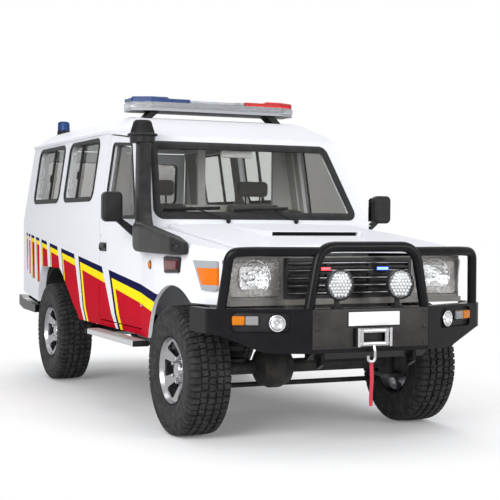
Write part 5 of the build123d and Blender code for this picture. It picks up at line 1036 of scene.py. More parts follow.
def on_side(sign):
    """Maps (y, z) to the vehicle's side, standing out by a lift."""
    lean = Vector((1.0, 0.0, SIDE_LEAN)).normalized()

    def surface(point, lift):
        out = lean if point[1] > BELT_Z else Vector(OUTWARD)
        half = BODY_HALF - SIDE_LEAN * max(0.0, point[1] - BELT_Z)
        spot = at(half, point[0], point[1]) + out * lift
        return Vector((sign * spot.x, spot.y, spot.z))

    return surface


def on_screen(point, lift):
    """Maps (x, z) to the windscreen's front face."""
    y = SCREEN_FOOT[0] + SCREEN_SLOPE * (point[1] - SCREEN_FOOT[1])
    return at(point[0], y, point[1]) + SCREEN_OUT * lift


def on_rear(point, lift):
    """Maps (x, z) to the rear doors' outer face."""
    lean = max(0.0, REAR_LEAN * (point[1] - BELT_Z) / (GUTTER_Z - BELT_Z))
    return at(point[0], REAR_Y - lean + lift, point[1])


def on_nose(point, lift):
    """Maps (x, z) to the upright face round the headlamps."""
    return at(point[0], NOSE_Y - lift, point[1])


def on_level(point, z):
    return at(point[0], point[1], z)


def on_wing(point, lift):
    """Maps (distance along the left wing of the bar from its middle, z) to the wing's face."""
    return WING_MIDDLE + WING_ALONG * point[0] + Vector((0.0, 0.0, point[1])) + WING_OUT * lift


def on_fender(point, lift):
    """Maps (y, z) to the left fender's side, which falls away behind the wheel."""
    share = max(0.0, (point[0] - FENDER_BEND) / (FENDER_END - FENDER_BEND))
    ease = FENDER_EASE * min(1.0, max(0.0, point[0] / FENDER_BEND))
    return at(FENDER_X - ease - FENDER_FALL * share + lift, point[0], point[1])


# Seals round the glass

SCREEN_HOLE = [(-0.742, 1.345), (0.742, 1.345), (0.656, 1.840), (-0.656, 1.840)]
SIDE_HOLES = [
    [(1.890, 1.472), (2.680, 1.472), (2.680, 1.922), (1.890, 1.922)],
    [(2.840, 1.472), (3.640, 1.472), (3.640, 1.922), (2.840, 1.922)],
]
DOOR_HOLE = [(0.822, 1.338), (1.535, 1.338), (1.535, 1.869), (1.119, 1.842)]
REAR_HOLES = {
    "left": [(0.229, 1.475), (0.622, 1.475), (0.622, 1.860), (0.229, 1.860)],
    "right": [(-0.622, 1.475), (0.071, 1.475), (0.071, 1.860), (-0.622, 1.860)],
}


def make_seals():
    # each seal has its outline, width, height, surface, corner radius and the part outside the outline
    screen = mesh_of((seal_ring, SCREEN_HOLE, 0.050, 0.011, on_screen, 0.040, 0.022))
    put_piece("screen_seal", screen, RUBBER, smooth=40)
    for side, sign in SIDES.items():
        surface = on_side(sign)
        windows = mesh_of(*[(seal_ring, hole, 0.030, 0.008, surface, 0.070, 0.014) for hole in SIDE_HOLES])
        put_piece("side_window_seals_" + side, windows, RUBBER, smooth=40)
        door = mesh_of((seal_ring, DOOR_HOLE, 0.022, 0.007, surface, 0.025, 0.010))
        put_piece("door_seal_" + side, door, RUBBER, "front_door_" + side, 40)
    for side, hole in REAR_HOLES.items():
        rear = mesh_of((seal_ring, hole, 0.028, 0.008, on_rear, 0.050, 0.013))
        put_piece("rear_window_seal_" + side, rear, RUBBER, "back_door_" + side, 40)


make_seals()


# Headlamps: a clear cover over a pale housing with a round fluted bowl and a bulb shield

LAMP_X = 0.608
LAMP_Z = 0.985
LAMP_R = 0.102
BULB_R = 0.018
FLUTES = 22
FLUTE_STEPS = 7
FLUTE_RISE = 0.0035
BOWL_BOTTOM = -0.070
BOWL_RISE = 0.062
HOUSING_CORNER = 0.026
HEADLAMP_HOLE = [(0.4465, 0.8725), (0.7605, 0.8725), (0.7855, 1.0975), (0.4465, 1.0975)]
HEADLAMP_COVER = [(0.0, -0.004), (0.001, 0.008), (0.006, 0.013), (0.030, 0.017), (0.075, 0.019)]
HOUSING_RIM = [(0.0008, -0.026), (0.0008, -0.002), (0.003, -0.001), (0.004, -0.008)]
BOWL_RIM = [(0.004, -0.012), (0.003, -0.006), (0.001, -0.006), (0.0, -0.010)]
BULB_SHIELD = [
    (0.024, -0.072), (0.022, -0.048), (0.018, -0.046), (0.017, -0.034), (0.0165, -0.026), (0.010, -0.021),
    (0.0, -0.0195),
]


def headlamp_housing(shape):
    loops = []
    for moved, lift in HOUSING_RIM:
        loops.append(outline_loop(shape, HEADLAMP_HOLE, moved, HOUSING_CORNER, on_nose, lift))
    middle = Vector((LAMP_X, LAMP_Z))
    last = rounded(inset(HEADLAMP_HOLE, HOUSING_RIM[-1][0]), HOUSING_CORNER)
    rays = [(p - middle).normalized() for p in last]
    for wider, lift in BOWL_RIM:
        loops.append([shape.verts.new(on_nose(middle + ray * (LAMP_R + wider), lift)) for ray in rays])
    bridge(shape, loops)


def reflector_flute(shape):
    """One flute of the bowl, as a shallow strip that bulges towards the front; local Z points forward."""
    half = pi / FLUTES
    rows = []
    for k in range(FLUTE_STEPS + 1):
        share = k / FLUTE_STEPS
        radius = BULB_R + (LAMP_R - BULB_R) * share
        depth = BOWL_BOTTOM + BOWL_RISE * share ** 2
        row = []
        for turn, rise in ((-half, 0.0), (0.0, FLUTE_RISE * share), (half, 0.0)):
            row.append(shape.verts.new((radius * sin(turn), radius * cos(turn), depth + rise)))
        rows.append(row)
    for low, high in zip(rows, rows[1:]):
        for n in range(2):
            shape.faces.new((low[n], low[n + 1], high[n + 1], high[n]))


def make_headlamps():
    cover = mesh_of((lens_shell, HEADLAMP_HOLE, 0.030, on_nose, HEADLAMP_COVER, 0.003))
    pair("headlamp_cover", cover, CLEAR_LENS, replaces=["front_lamps"])
    pair("headlamp_housing", mesh_of((headlamp_housing,)), LAMP_PALE)
    bowl = repeated(mesh_of((reflector_flute,)), TURN_TREE, FLUTES, (0.0, 0.0, 2 * pi / FLUTES), CRYSTAL)
    spot = (LAMP_X, NOSE_Y - 0.002, LAMP_Z)
    placed("headlamp_bowl", bowl, spot, CRYSTAL, 60)
    placed("headlamp_shield", mesh_of((lathe, BULB_SHIELD, 24)), spot, CHROME, 40)


# Lamps in the bar's wings

FOG_SPOT = (-0.093, 0.738)
FOG_PLACE = facing(on_wing(FOG_SPOT, 0.0), WING_OUT)
FOG_RIM_PLACE = facing(on_wing(FOG_SPOT, -0.0175), WING_OUT)
FOG_RIM = [(0.049, 0.0), (0.049, 0.006), (0.052, 0.007), (0.056, 0.004), (0.057, 0.0)]
FOG_BODY = [
    (0.0478, -0.0178), (0.0478, 0.007), (0.0465, 0.010), (0.0430, 0.011), (0.0405, 0.009), (0.0395, 0.004),
    (0.030, -0.007), (0.012, -0.013), (0.009, -0.004), (0.0, -0.002),
]
FOG_COVER = [
    (0.0398, 0.0075), (0.028, 0.0105), (0.012, 0.0117), (0.0, 0.0119),
    (0.0, 0.0099), (0.012, 0.0097), (0.028, 0.0085), (0.0398, 0.0055),
]


def wing_box(spot, lift, size, radius, segments):
    """Step for a rounded box that lies along the left wing of the bar."""
    return (rounded_box, on_wing(spot, lift), size, radius, segments, WING_TURN)


def make_wing_lamps():
    plate = wing_box((0.0, 0.742), -0.0172, (0.322, 0.110, 0.0015), 0.0006, 2)
    signal_base = wing_box((0.087, 0.752), -0.0145, (0.160, 0.066, 0.006), 0.002, 2)
    pair("wing_pocket_plate", mesh_of(plate, (lathe, FOG_RIM, 40, FOG_RIM_PLACE), signal_base), PLASTIC)
    pair("fog_lamp_body", mesh_of((lathe, FOG_BODY, 40, FOG_PLACE)), CHROME, replaces=["front_lamps"])
    pair("fog_lamp_cover", mesh_of((lathe, FOG_COVER, 40, FOG_PLACE, True)), CLEAR_LENS)
    amber = wing_box((0.125, 0.752), -0.005, (0.072, 0.052, 0.021), 0.008, 4)
    pair("wing_signal_amber", mesh_of(amber), AMBER)
    clear = wing_box((0.0495, 0.752), -0.0055, (0.074, 0.052, 0.020), 0.008, 4)
    pair("wing_signal_clear", mesh_of(clear), LAMP_FROST)


# Driving lamps: a rim, rows of small reflector cups on a dim base and a clear cover on each housing

DRIVING_SPOT = (0.198, -0.869, 0.950)
CUP_ROWS = [
    # cups in the row, and its height over the lamp's middle in steps
    (4, -3), (5, -2), (6, -1), (7, 0), (6, 1), (5, 2), (4, 3),
]
CUP_STEP = 0.0212
ROW_STEP = 0.866 * CUP_STEP
CUP = [
    (0.0103, 0.0006), (0.0100, 0.0036), (0.0086, 0.0030), (0.0040, 0.0010), (0.0032, 0.0022), (0.0, 0.0027),
]
CUP_BASE = [(0.0790, 0.0010), (0.0785, 0.0014), (0.0, 0.0014)]
DRIVING_RIM = [
    (0.0862, -0.012), (0.0885, -0.010), (0.0885, 0.004), (0.0860, 0.0075), (0.0815, 0.0078), (0.0795, 0.005),
    (0.0795, 0.0008), (0.0, 0.0006),
]
DRIVING_COVER = [
    (0.0802, 0.0052), (0.060, 0.0078), (0.030, 0.0090), (0.0, 0.0093),
    (0.0, 0.0078), (0.030, 0.0075), (0.060, 0.0063), (0.0802, 0.0040),
]


def make_driving_lamps():
    cup = mesh_of((lathe, CUP, 12))
    rows = []
    for count, row in CUP_ROWS:
        start = Matrix.Translation((-0.5 * (count - 1) * CUP_STEP, row * ROW_STEP, 0.0))
        line = repeated(cup.copy(), ROW_TREE, count, (CUP_STEP, 0.0, 0.0), REFLECTOR)
        rows.append(turned_mesh(line, start))
    placed("driving_rim", mesh_of((lathe, DRIVING_RIM, 56)), DRIVING_SPOT, GLOSS_BLACK, 35)
    placed("driving_base", mesh_of((lathe, CUP_BASE, 48)), DRIVING_SPOT, DIM_PLATE, 40)
    placed("driving_cups", joined(rows), DRIVING_SPOT, REFLECTOR, 40)
    cover = mesh_of((lathe, DRIVING_COVER, 56, Matrix.Identity(4), True))
    placed("driving_cover", cover, DRIVING_SPOT, CLEAR_LENS, 40)


# Flat pieces, each one rounded box

PLATE_TABLE = [
    # name, finish, middle, size, edge radius, edge steps
    ("bar_centre_plate", BAR_PLATE, at(0.0, -0.8816, 0.7025), (0.756, 0.0030, 0.224), 0.0012, 2),
    ("blank_sign_edge", GLOSS_BLACK, at(0.015, -0.8845, 0.757), (0.346, 0.004, 0.090), 0.0018, 3),
    ("blank_sign_face", SIGN_WHITE, at(0.015, -0.8866, 0.757), (0.334, 0.0016, 0.078), 0.0007, 2),
    ("roof_bar_middle", BAR_LENS, at(0.0, 1.560, 2.1868), (0.428, 0.276, 0.0212), 0.005, 4),
    ("blank_number_plate", SIGN_WHITE, at(0.0, 4.0792, 0.588), (0.372, 0.004, 0.086), 0.0016, 3),
]
PAIRED_PLATES = [
    # name, finish, middle, size, edge radius, edge steps
    ("tail_amber", AMBER, at(0.750, 3.9930, 1.058), (0.050, 0.006, 0.072), 0.002, 3),
    ("tail_clear", LAMP_FROST, at(0.750, 3.9930, 0.872), (0.050, 0.006, 0.064), 0.002, 3),
]


def make_plates():
    for name, finish, *box in PLATE_TABLE:
        put_piece(name, mesh_of((rounded_box, *box)), finish)
    for name, finish, *box in PAIRED_PLATES:
        pair(name, mesh_of((rounded_box, *box)), finish)


# Bar and grille: bent tubes, bolts, two strobes and bright lines on the grille's bars

TUBE_SIDES = 28
HOOP_PATH = [
    at(-0.380, -0.836, 0.806), at(-0.314, -0.836, 1.167), at(0.314, -0.836, 1.167), at(0.380, -0.836, 0.806),
]
SIDE_HOOP = [(0.296, -0.828, 1.138), (0.700, -0.735, 1.138), (0.806, -0.696, 1.132), (0.838, -0.652, 0.806)]
BOLT_X = 0.352
GRILLE_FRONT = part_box("grille")[0].y
STROBE_TABLE = [
    # name, x, finish of the light
    ("red", -0.172, RED_GLOW),
    ("blue", 0.218, BLUE_GLOW),
]
STROBE_Z = 1.033
GRILLE_LINES = 5
GRILLE_LOW = 0.892
GRILLE_STEP = (1.068 - GRILLE_LOW) / (GRILLE_LINES - 1)


def bar_tubes(shape):
    """Bent tubes on the bar: one hoop over the middle and one over each wing."""
    tube_along(shape, smooth_path(HOOP_PATH, 0.10, 10), 0.030, TUBE_SIDES)
    for sign in (-1.0, 1.0):
        path = [at(sign * x, y, z) for x, y, z in SIDE_HOOP]
        tube_along(shape, smooth_path(path, 0.13, 12), 0.028, TUBE_SIDES)


def make_bar_trim():
    put_piece("bar_tubes", mesh_of((bar_tubes,)), BAR_BLACK, smooth=50, replaces=["bar_hoops"])
    bolt = mesh_of((hex_head, facing(Vector(NO_TURN), FORWARD), 0.0085, 0.006))
    bolts = repeated(bolt, ROW_TREE, 3, (0.0, 0.0, 0.094), CHROME)
    rows = [turned_mesh(bolts, Matrix.Translation(at(x, -0.8828, 0.610))) for x in (-BOLT_X, BOLT_X)]
    put_piece("bar_plate_bolts", joined(rows), BOLT_STEEL, smooth=30)
    for name, x, glow in STROBE_TABLE:
        spot = Vector((x, GRILLE_FRONT - 0.006, STROBE_Z))
        body = mesh_of((rounded_box, spot, (0.092, 0.016, 0.030), 0.005, 3))
        put_piece("grille_strobe_body_" + name, body, GLOSS_BLACK, smooth=40)
        spot = Vector((x, GRILLE_FRONT - 0.0145, STROBE_Z))
        light = mesh_of((rounded_box, spot, (0.076, 0.005, 0.017), 0.002, 3))
        put_piece("grille_strobe_light_" + name, light, glow, smooth=40)
    line = mesh_of((rounded_box, (0.0, GRILLE_FRONT - 0.0006, 0.0), (0.800, 0.0030, 0.0070), 0.0012, 2))
    lines = repeated(line, ROW_TREE, GRILLE_LINES, (0.0, 0.0, GRILLE_STEP), DIM_PLATE)
    lines = turned_mesh(lines, Matrix.Translation((0.0, 0.0, GRILLE_LOW)))
    put_piece("grille_bright_lines", lines, DIM_PLATE)


# Fenders: strobe in its bezel, and a round repeater

STROBE = [(-0.130, 1.000), (0.115, 0.990), (0.130, 1.092), (-0.150, 1.092)]
BEZEL_LEVELS = [(0.0, -0.004), (0.0, 0.010), (0.004, 0.014), (0.014, 0.014)]
STROBE_LEVELS = [(0.018, 0.010), (0.018, 0.018), (0.022, 0.021), (0.035, 0.022)]
REPEATER_PLACE = facing(on_fender((0.440, 1.030), 0.0), (1.0, 0.04, 0.0))
REPEATER = [(0.024, -0.004), (0.024, 0.006), (0.021, 0.012), (0.010, 0.0155), (0.0, 0.016)]
REPEATER_RIM = [(0.0240, -0.004), (0.0240, 0.005), (0.0265, 0.006), (0.0295, 0.003), (0.0295, -0.004)]


def make_fender_trim():
    bezel = mesh_of((lens_shell, STROBE, 0.014, on_fender, BEZEL_LEVELS, 0.003))
    pair("fender_strobe_bezel", bezel, PLASTIC)
    face = mesh_of((lens_shell, STROBE, 0.014, on_fender, STROBE_LEVELS, 0.002))
    pair("fender_strobe_lens", face, STROBE_RED)
    pair("side_repeater", mesh_of((lathe, REPEATER, 28, REPEATER_PLACE)), AMBER)
    pair("side_repeater_rim", mesh_of((lathe, REPEATER_RIM, 28, REPEATER_PLACE, True)), PLASTIC)


# Doors and side windows: handle, lock, strip below the glass, mirror's glass, sliding frame, rail and latch

LEFT = on_side(1.0)
HANDLE_BARS = [
    # start, end, width, height
    ((1.455, 1.125), (1.605, 1.125), 0.062, 0.006),
    ((1.470, 1.131), (1.590, 1.131), 0.026, 0.018),
    ((1.575, 1.122), (1.597, 1.122), 0.036, 0.016),
]
LOCK_SPOT = (1.585, 1.205)
LOCK = [
    (0.0135, -0.003), (0.0135, 0.002), (0.0115, 0.0035), (0.0095, 0.0030), (0.0040, 0.0032), (0.0, 0.0028),
]
FRONT_DOOR = "front_door_%s"
SLIDE_SPLITS = (0.60, 0.42)


def make_door_trim():
    pair("door_handle", mesh_of(*[(bar_on, LEFT, *bar) for bar in HANDLE_BARS]), PLASTIC, FRONT_DOOR)
    pair("door_lock", mesh_of((lathe, LOCK, 24, facing(LEFT(LOCK_SPOT, 0.0), OUTWARD))), CHROME, FRONT_DOOR)
    strip = mesh_of((bar_on, LEFT, (0.800, 1.331), (1.548, 1.331), 0.014, 0.010))
    pair("door_glass_strip", strip, RUBBER, FRONT_DOOR)
    low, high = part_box("mirror_left")
    middle = ((low.x + high.x) / 2 + 0.035, high.y + 0.0008, 1.404)
    glass = mesh_of((rounded_box, middle, (0.112, 0.003, 0.172), 0.0012, 3))
    pair("mirror_glass", glass, MIRROR, FRONT_DOOR)
    slides = []
    for hole, split in zip(SIDE_HOLES, SLIDE_SPLITS):
        start = hole[0][0]
        end = hole[1][0]
        y = start + split * (end - start)
        latch = y + 0.016
        slides += [
            (bar_on, LEFT, (y, 1.482), (y, 1.912), 0.026, -0.006, 0.020),
            (bar_on, LEFT, (start + 0.05, 1.486), (end - 0.05, 1.486), 0.018, -0.008, 0.020),
            (bar_on, LEFT, (latch, 1.640), (latch, 1.700), 0.022, 0.004, 0.016),
        ]
    pair("side_window_slides", mesh_of(*slides), RUBBER)


# Wipers, parked along the bottom of the screen, and the mirror behind it

WIPER_TABLE = [
    # pivot x, arm end x, blade start x, blade end x
    (-0.240, -0.500, -0.690, -0.280),
    (0.270, 0.010, -0.180, 0.230),
]
WIPER_PIVOT = [(0.015, -0.012), (0.015, 0.010), (0.011, 0.016), (0.0, 0.017)]
PIVOT_Z = 1.308


def make_wipers():
    steps = []
    for pivot, tip, start, end in WIPER_TABLE:
        arm = [
            on_screen((pivot, PIVOT_Z), 0.018), on_screen((pivot - 0.09, 1.338), 0.026),
            on_screen((tip, 1.392), 0.024),
        ]
        steps += [
            (lathe, WIPER_PIVOT, 20, facing(on_screen((pivot, PIVOT_Z), 0.006), SCREEN_OUT)),
            (tube_along, arm, 0.0055, 8),
            (bar_on, on_screen, (start, 1.384), (end, 1.398), 0.011, 0.022, -0.012),
            (bar_on, on_screen, (start, 1.3825), (end, 1.3965), 0.005, 0.013, 0.008),
        ]
    put_piece("screen_wipers", mesh_of(*steps), PLASTIC)
    head = (rounded_box, at(0.0, 1.085, 1.800), (0.240, 0.030, 0.068), 0.012, 4)
    stalk = (tube_along, [at(0.0, 1.085, 1.815), at(0.0, 1.062, 1.868)], 0.007, 10)
    put_piece("inside_mirror", mesh_of(head, stalk), PALE, smooth=40)


# Hood: dark mesh in the scoop's mouth

HOOD_PLACE = Matrix.Translation(at(0.0, -0.612, 1.172)) @ Matrix.Rotation(radians(6.0), 4, "X")
SCOOP_FINS = 47
FIN_STEP = 0.576 / (SCOOP_FINS - 1)


def make_scoop():
    back = mesh_of((rounded_box, (0.0, 0.4930, 0.0150), (0.594, 0.040, 0.0232), 0.002, 2))
    fin = mesh_of((rounded_box, (-0.288, 0.4660, 0.0150), (0.0030, 0.022, 0.0230), 0.0008, 1))
    fins = repeated(fin, ROW_TREE, SCOOP_FINS, (FIN_STEP, 0.0, 0.0), PLASTIC)
    put_piece("scoop_mesh", turned_mesh(joined([back, fins]), HOOD_PLACE), PLASTIC, "hood")


# Snorkel: one soft-edged moulding of duct and shaft, an intake head with fins, and a plug in the duct

SNORKEL_TOP = at(-0.773, 0.885, 1.850)
SNORKEL_FOOT = at(-0.886, 0.584, 1.285)
DUCT_TABLE = [
    # y, inner x, outer x, bottom, top
    (-0.268, -0.882, -0.918, 1.112, 1.182), (-0.240, -0.882, -0.938, 1.108, 1.194),
    (-0.150, -0.883, -0.963, 1.107, 1.220), (0.000, -0.885, -0.967, 1.108, 1.242),
    (0.200, -0.885, -0.967, 1.109, 1.270), (0.400, -0.876, -0.965, 1.110, 1.296),
    (0.540, -0.860, -0.953, 1.112, 1.302), (0.610, -0.852, -0.936, 1.120, 1.300),
    (0.636, -0.852, -0.926, 1.150, 1.290),
]
SHAFT_TABLE = [
    # share of the way up, half width, half depth, shift to the front
    (-0.14, 0.044, 0.110, 0.060), (0.00, 0.045, 0.105, 0.060), (0.12, 0.045, 0.088, 0.044),
    (0.35, 0.045, 0.076, 0.030), (0.98, 0.045, 0.070, 0.022),
]
SNORKEL_HEAD = [
    (0.0, -0.014), (0.078, -0.014), (0.085, -0.010), (0.086, 0.030), (0.099, 0.034), (0.102, 0.038),
    (0.102, 0.045), (0.098, 0.049), (0.080, 0.053), (0.057, 0.130), (0.050, 0.139), (0.0, 0.144),
]
HEAD_FINS = 26
HEAD_FIN = [(0.0785, 0.0545), (0.0825, 0.0560), (0.0605, 0.1290), (0.0565, 0.1275)]
FIN_HALF = 0.0022
PLUG_PLACE = facing(at(-0.9475, -0.196, 1.152), (-0.955, -0.297, 0.0))
PLUG = [(0.030, -0.008), (0.030, 0.004), (0.027, 0.007), (0.021, 0.007), (0.019, 0.002), (0.0, 0.001)]


def oval(shape, centre, across, upward, power, steps=32):
    """Closed ring of points, rounder or squarer by its power."""
    ring = []
    for k in range(steps):
        turn = 2 * pi * k / steps
        spot = Vector(centre)
        for axis, share in ((across, cos(turn)), (upward, sin(turn))):
            spot += Vector(axis) * (abs(share) ** (2.0 / power) * (1.0 if share > 0.0 else -1.0))
        ring.append(shape.verts.new(spot))
    return ring


def snorkel_body(shape):
    rings = []
    for y, inner, outer, low, high in DUCT_TABLE:
        centre = at(0.5 * (inner + outer), y, 0.5 * (low + high))
        half_x = 0.5 * (inner - outer)
        half_z = 0.5 * (high - low)
        rings.append(oval(shape, centre, (half_x, 0.0, 0.0), (0.0, 0.0, half_z), 5.0))
    bridge(shape, rings, capped=True)
    rings = []
    for share, half_x, half_y, ahead in SHAFT_TABLE:
        centre = SNORKEL_FOOT.lerp(SNORKEL_TOP, share) - Vector((0.0, ahead, 0.0))
        rings.append(oval(shape, centre, (half_x, 0.0, 0.0), (0.0, half_y, 0.0), 2.6))
    bridge(shape, rings, capped=True)


def head_fin(shape):
    sides = [[shape.verts.new((r, half, z)) for r, z in HEAD_FIN] for half in (-FIN_HALF, FIN_HALF)]
    bridge(shape, sides, capped=True)


def make_snorkel():
    moulding = with_modifier(mesh_of((snorkel_body,)), "REMESH", mode="VOXEL", voxel_size=0.006)
    moulding = with_modifier(moulding, "SMOOTH", factor=0.5, iterations=9)
    put_piece("snorkel_moulding", moulding, PLASTIC, smooth=180, replaces=["snorkel"])
    top = Matrix.Translation(SNORKEL_TOP)
    put_piece("snorkel_head", mesh_of((lathe, SNORKEL_HEAD, 48, top)), PLASTIC, replaces=["snorkel"])
    fins = repeated(mesh_of((head_fin,)), TURN_TREE, HEAD_FINS, (0.0, 0.0, 2 * pi / HEAD_FINS), PLASTIC)
    put_piece("snorkel_head_fins", turned_mesh(fins, top), PLASTIC, smooth=30)
    put_piece("snorkel_plug", mesh_of((lathe, PLUG, 32, PLUG_PLACE)), GLOSS_BLACK)


# Roof: clear skirt and reflector cells of the light bar, and feet of the two beacons

BAR_OUTLINE = [
    (-0.650, 1.490), (-0.520, 1.420), (0.520, 1.420), (0.650, 1.490),
    (0.650, 1.680), (0.590, 1.700), (-0.590, 1.700), (-0.650, 1.680),
]
SKIRT_LEVELS = [
    # inset, height
    (0.0, 2.1342), (0.0, 2.1728), (0.003, 2.1758), (0.003, 2.1342),
]
CELLS = 11
CELL_STEP = 0.100
CELL_LENS = [(0.0150, 0.0), (0.0150, 0.0035), (0.0128, 0.0030), (0.004, -0.001), (0.0, -0.001)]
BEACON_SPOT = (0.560, 3.620, 2.0)
BEACON_FOOT = [(0.055, 0.075), (0.0575, 0.078), (0.0575, 0.106), (0.055, 0.110)]


def skirt(shape):
    loops = [outline_loop(shape, BAR_OUTLINE, moved, 0.022, on_level, z) for moved, z in SKIRT_LEVELS]
    bridge(shape, loops, closed=True)


def make_roof():
    put_piece("roof_bar_skirt", mesh_of((skirt,)), BAR_LENS, replaces=["light_bar_clear"])
    cell = [(rounded_box, (-0.50, 0.0, 0.0), (0.092, 0.030, 0.036), 0.004, 2)]
    for x in (-0.524, -0.476):
        cell.append((lathe, CELL_LENS, 14, facing(Vector((x, -0.0152, 0.0)), FORWARD)))
    row = repeated(mesh_of(*cell), ROW_TREE, CELLS, (CELL_STEP, 0.0, 0.0), DIM_PLATE)
    front = turned_mesh(row, Matrix.Translation(at(0.0, 1.455, 2.1550)))
    back = turned_mesh(row, Matrix.Translation(at(0.0, 1.668, 2.1550)) @ Matrix.Rotation(pi, 4, "Z"))
    put_piece("roof_bar_cells", joined([front, back]), DIM_PLATE)
    x, y, z = BEACON_SPOT
    feet = [(lathe, BEACON_FOOT, 36, Matrix.Translation(at(sign * x, y, z))) for sign in (-1.0, 1.0)]
    put_piece("beacon_feet", mesh_of(*feet), PLASTIC)


# Rear door's handle, ribs on the steps' treads and their end caps

REAR_HANDLE = [
    # start, end, width, height
    ((0.118, 1.050), (0.118, 1.190), 0.046, 0.006),
    ((0.118, 1.075), (0.118, 1.170), 0.022, 0.022),
]
STEP_RIBS = 7
RIB_STEP = 0.0135
STEP_ENDS = (0.563, 1.637)


def make_rear_and_steps():
    handle = mesh_of(*[(bar_on, on_rear, *bar) for bar in REAR_HANDLE])
    put_piece("back_door_handle", handle, PLASTIC, "back_door_right")
    rib = mesh_of((rounded_box, (0.0, 0.0, 0.0), (0.0075, 1.020, 0.005), 0.0015, 2))
    ribs = repeated(rib, ROW_TREE, STEP_RIBS, (RIB_STEP, 0.0, 0.0), ALUMINIUM)
    pair("step_ribs", turned_mesh(ribs, Matrix.Translation(at(0.852, 1.100, 0.5308))), ALUMINIUM)
    caps = [(rounded_box, at(0.8925, y, 0.513), (0.110, 0.012, 0.038), 0.003, 3) for y in STEP_ENDS]
    pair("step_caps", mesh_of(*caps), PLASTIC)


# Seats: padded cushion, back and head rest in cloth on a moulded base; padded benches on lockers

PARTITION_Y = 1.740
SEAT_X = 0.385
CUSHION_Y = PARTITION_Y - 0.420
BACK_MIDDLE = at(0.0, PARTITION_Y - 0.135, 1.246)
BACK_TURN = Matrix.Rotation(radians(-11.5), 3, "X")
SEAT_CUSHION = [(rounded_box, at(0.0, CUSHION_Y, 0.9490), (0.464, 0.454, 0.112), 0.040, 5)] + [
    (rounded_box, at(x, CUSHION_Y - 0.005, 0.9640), (0.080, 0.430, 0.090), 0.036, 5) for x in (-0.190, 0.190)
]
SEAT_BACK = [(rounded_box, BACK_MIDDLE, (0.452, 0.076, 0.420), 0.034, 5, BACK_TURN)] + [
    (rounded_box, BACK_MIDDLE + Vector((x, -0.008, -0.01)), (0.072, 0.082, 0.380), 0.032, 5, BACK_TURN)
    for x in (-0.186, 0.186)
]
HEAD_REST = [(rounded_box, at(0.0, PARTITION_Y - 0.091, 1.5625), (0.250, 0.064, 0.118), 0.030, 5)]
PAD_TABLE = [
    # name, steps, cap on the swelling, voxel size, fill
    ("seat_cushion", SEAT_CUSHION, 0.010, 0.010, 0.7),
    ("seat_back", SEAT_BACK, 0.008, 0.010, 0.7),
    ("head_rest", HEAD_REST, 0.006, 0.007, 0.8),
]
BENCH_X = 0.607
BENCH_Y = (2.222, 2.850, 3.478)
BENCH_PAD = [(rounded_box, at(BENCH_X, y, 1.0695), (0.336, 0.616, 0.046), 0.020, 4) for y in BENCH_Y]
LOCKER = [
    (rounded_box, at(0.493, BENCH_Y[1], 0.838), (0.124, 1.896, 0.292), 0.008, 3),
    (rounded_box, at(BENCH_X, BENCH_Y[1], 1.012), (0.352, 1.898, 0.052), 0.006, 3),
] + [(rounded_box, at(0.4300, y, 0.850), (0.006, 0.540, 0.210), 0.0025, 2) for y in BENCH_Y]
PRESSURE = 4.0
LAST_FRAME = 20


def padded_mesh(steps, cap, voxel):
    """Soft mesh of a pad: remeshed, swollen by cloth pressure, held within a cap, and subdivided once."""
    start = with_modifier(mesh_of(*steps), "REMESH", mode="VOXEL", voxel_size=voxel)
    soft = add_object("pad_soft", start.copy())
    cloth = soft.modifiers.new("cloth", "CLOTH")
    cloth.settings.use_pressure = True
    cloth.settings.uniform_pressure_force = PRESSURE
    cloth.settings.effector_weights.gravity = 0.0
    cloth.settings.quality = 5
    cloth.point_cache.frame_start = 1
    cloth.point_cache.frame_end = LAST_FRAME
    for step in range(1, LAST_FRAME + 1):
        SCENE.frame_set(step)
    swollen = evaluated(soft)
    SCENE.frame_set(1)
    for vert, first in zip(swollen.vertices, start.vertices):
        move = vert.co - first.co
        if move.length > cap:
            vert.co = first.co + move * (cap / move.length)
    return with_modifier(swollen, "SUBSURF", levels=1)


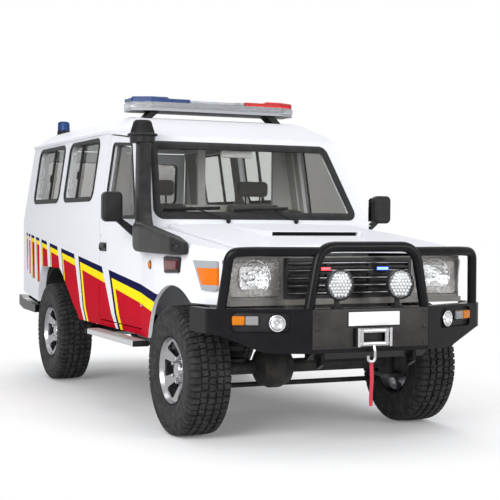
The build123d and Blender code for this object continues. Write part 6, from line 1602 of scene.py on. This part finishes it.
def make_seats():
    pads = [(name, padded_mesh(steps, cap, voxel), fill) for name, steps, cap, voxel, fill in PAD_TABLE]
    for side, sign in SIDES.items():
        x = sign * SEAT_X
        for name, mesh, fill in pads:
            moved = turned_mesh(mesh, Matrix.Translation((x, 0.0, 0.0)))
            pad = put_piece("%s_%s" % (name, side), moved, CLOTH, smooth=180, replaces=["front_seats"])
        base = [(rounded_box, at(x, PARTITION_Y - 0.415, 0.785), (0.396, 0.386, 0.188), 0.018, 4)]
        for post in (x - 0.060, x + 0.060):
            path = [at(post, PARTITION_Y - 0.097, 1.440), at(post, PARTITION_Y - 0.092, 1.520)]
            base.append((tube_along, path, 0.0065, 12))
        put_piece("seat_base_" + side, mesh_of(*base), DASH, replaces=["front_seats"])
    pair("bench_locker", mesh_of(*LOCKER), PALE, replaces=["rear_benches"])
    bench = padded_mesh(BENCH_PAD, 0.006, 0.014)
    for pad in pair("bench_pad", bench, VINYL, smooth=180, replaces=["rear_benches"]):
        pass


# Winch strap: a free length of webbing in the hook

STRAP_TOP = at(-0.022, -0.921, 0.5067)
STRAP_LENGTH = 0.245
STRAP_WIDTH = 0.024
STRAP_EDGE = 0.0012
STRAP_SWAY = [
    # shift to the left, share of the length
    (0.0, 0.0), (0.001, 0.10), (0.004, 0.30), (0.002, 0.55), (-0.003, 0.80), (-0.001, 1.0),
]


def strap_webbing():
    made = Finish("strap_webbing")
    weave = made.wave(320.0, "Z", (0.0, radians(35), 0.0))
    tone = made.mix(weave, rgb(0.62, 0.035, 0.070), rgb(0.42, 0.018, 0.040))
    made.set(Base_Color=tone, Roughness=0.85, Sheen_Weight=0.2)
    return made.bump(weave, 0.5, 0.001)


def make_strap():
    data = bpy.data.curves.new("hook_strap_route", "CURVE")
    data.dimensions = "3D"
    line = data.splines.new("NURBS")
    line.points.add(len(STRAP_SWAY) - 1)
    for point, (x, share) in zip(line.points, STRAP_SWAY):
        point.co = (STRAP_TOP.x + x, STRAP_TOP.y, STRAP_TOP.z - share * STRAP_LENGTH, 1.0)
    line.order_u = 3
    line.use_endpoint_u = True
    data.resolution_u = 12
    data.extrude = STRAP_WIDTH / 2 - STRAP_EDGE
    data.bevel_depth = STRAP_EDGE
    data.bevel_resolution = 2
    data.materials.append(strap_webbing())
    strap = add_object("winch_strap", data)
    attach(strap, SHELL)
    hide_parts("hook_strap")


make_headlamps()
make_wing_lamps()
make_driving_lamps()
make_plates()
make_bar_trim()
make_fender_trim()
make_door_trim()
make_wipers()
make_scoop()
make_snorkel()
make_roof()
make_rear_and_steps()
make_seats()
make_strap()
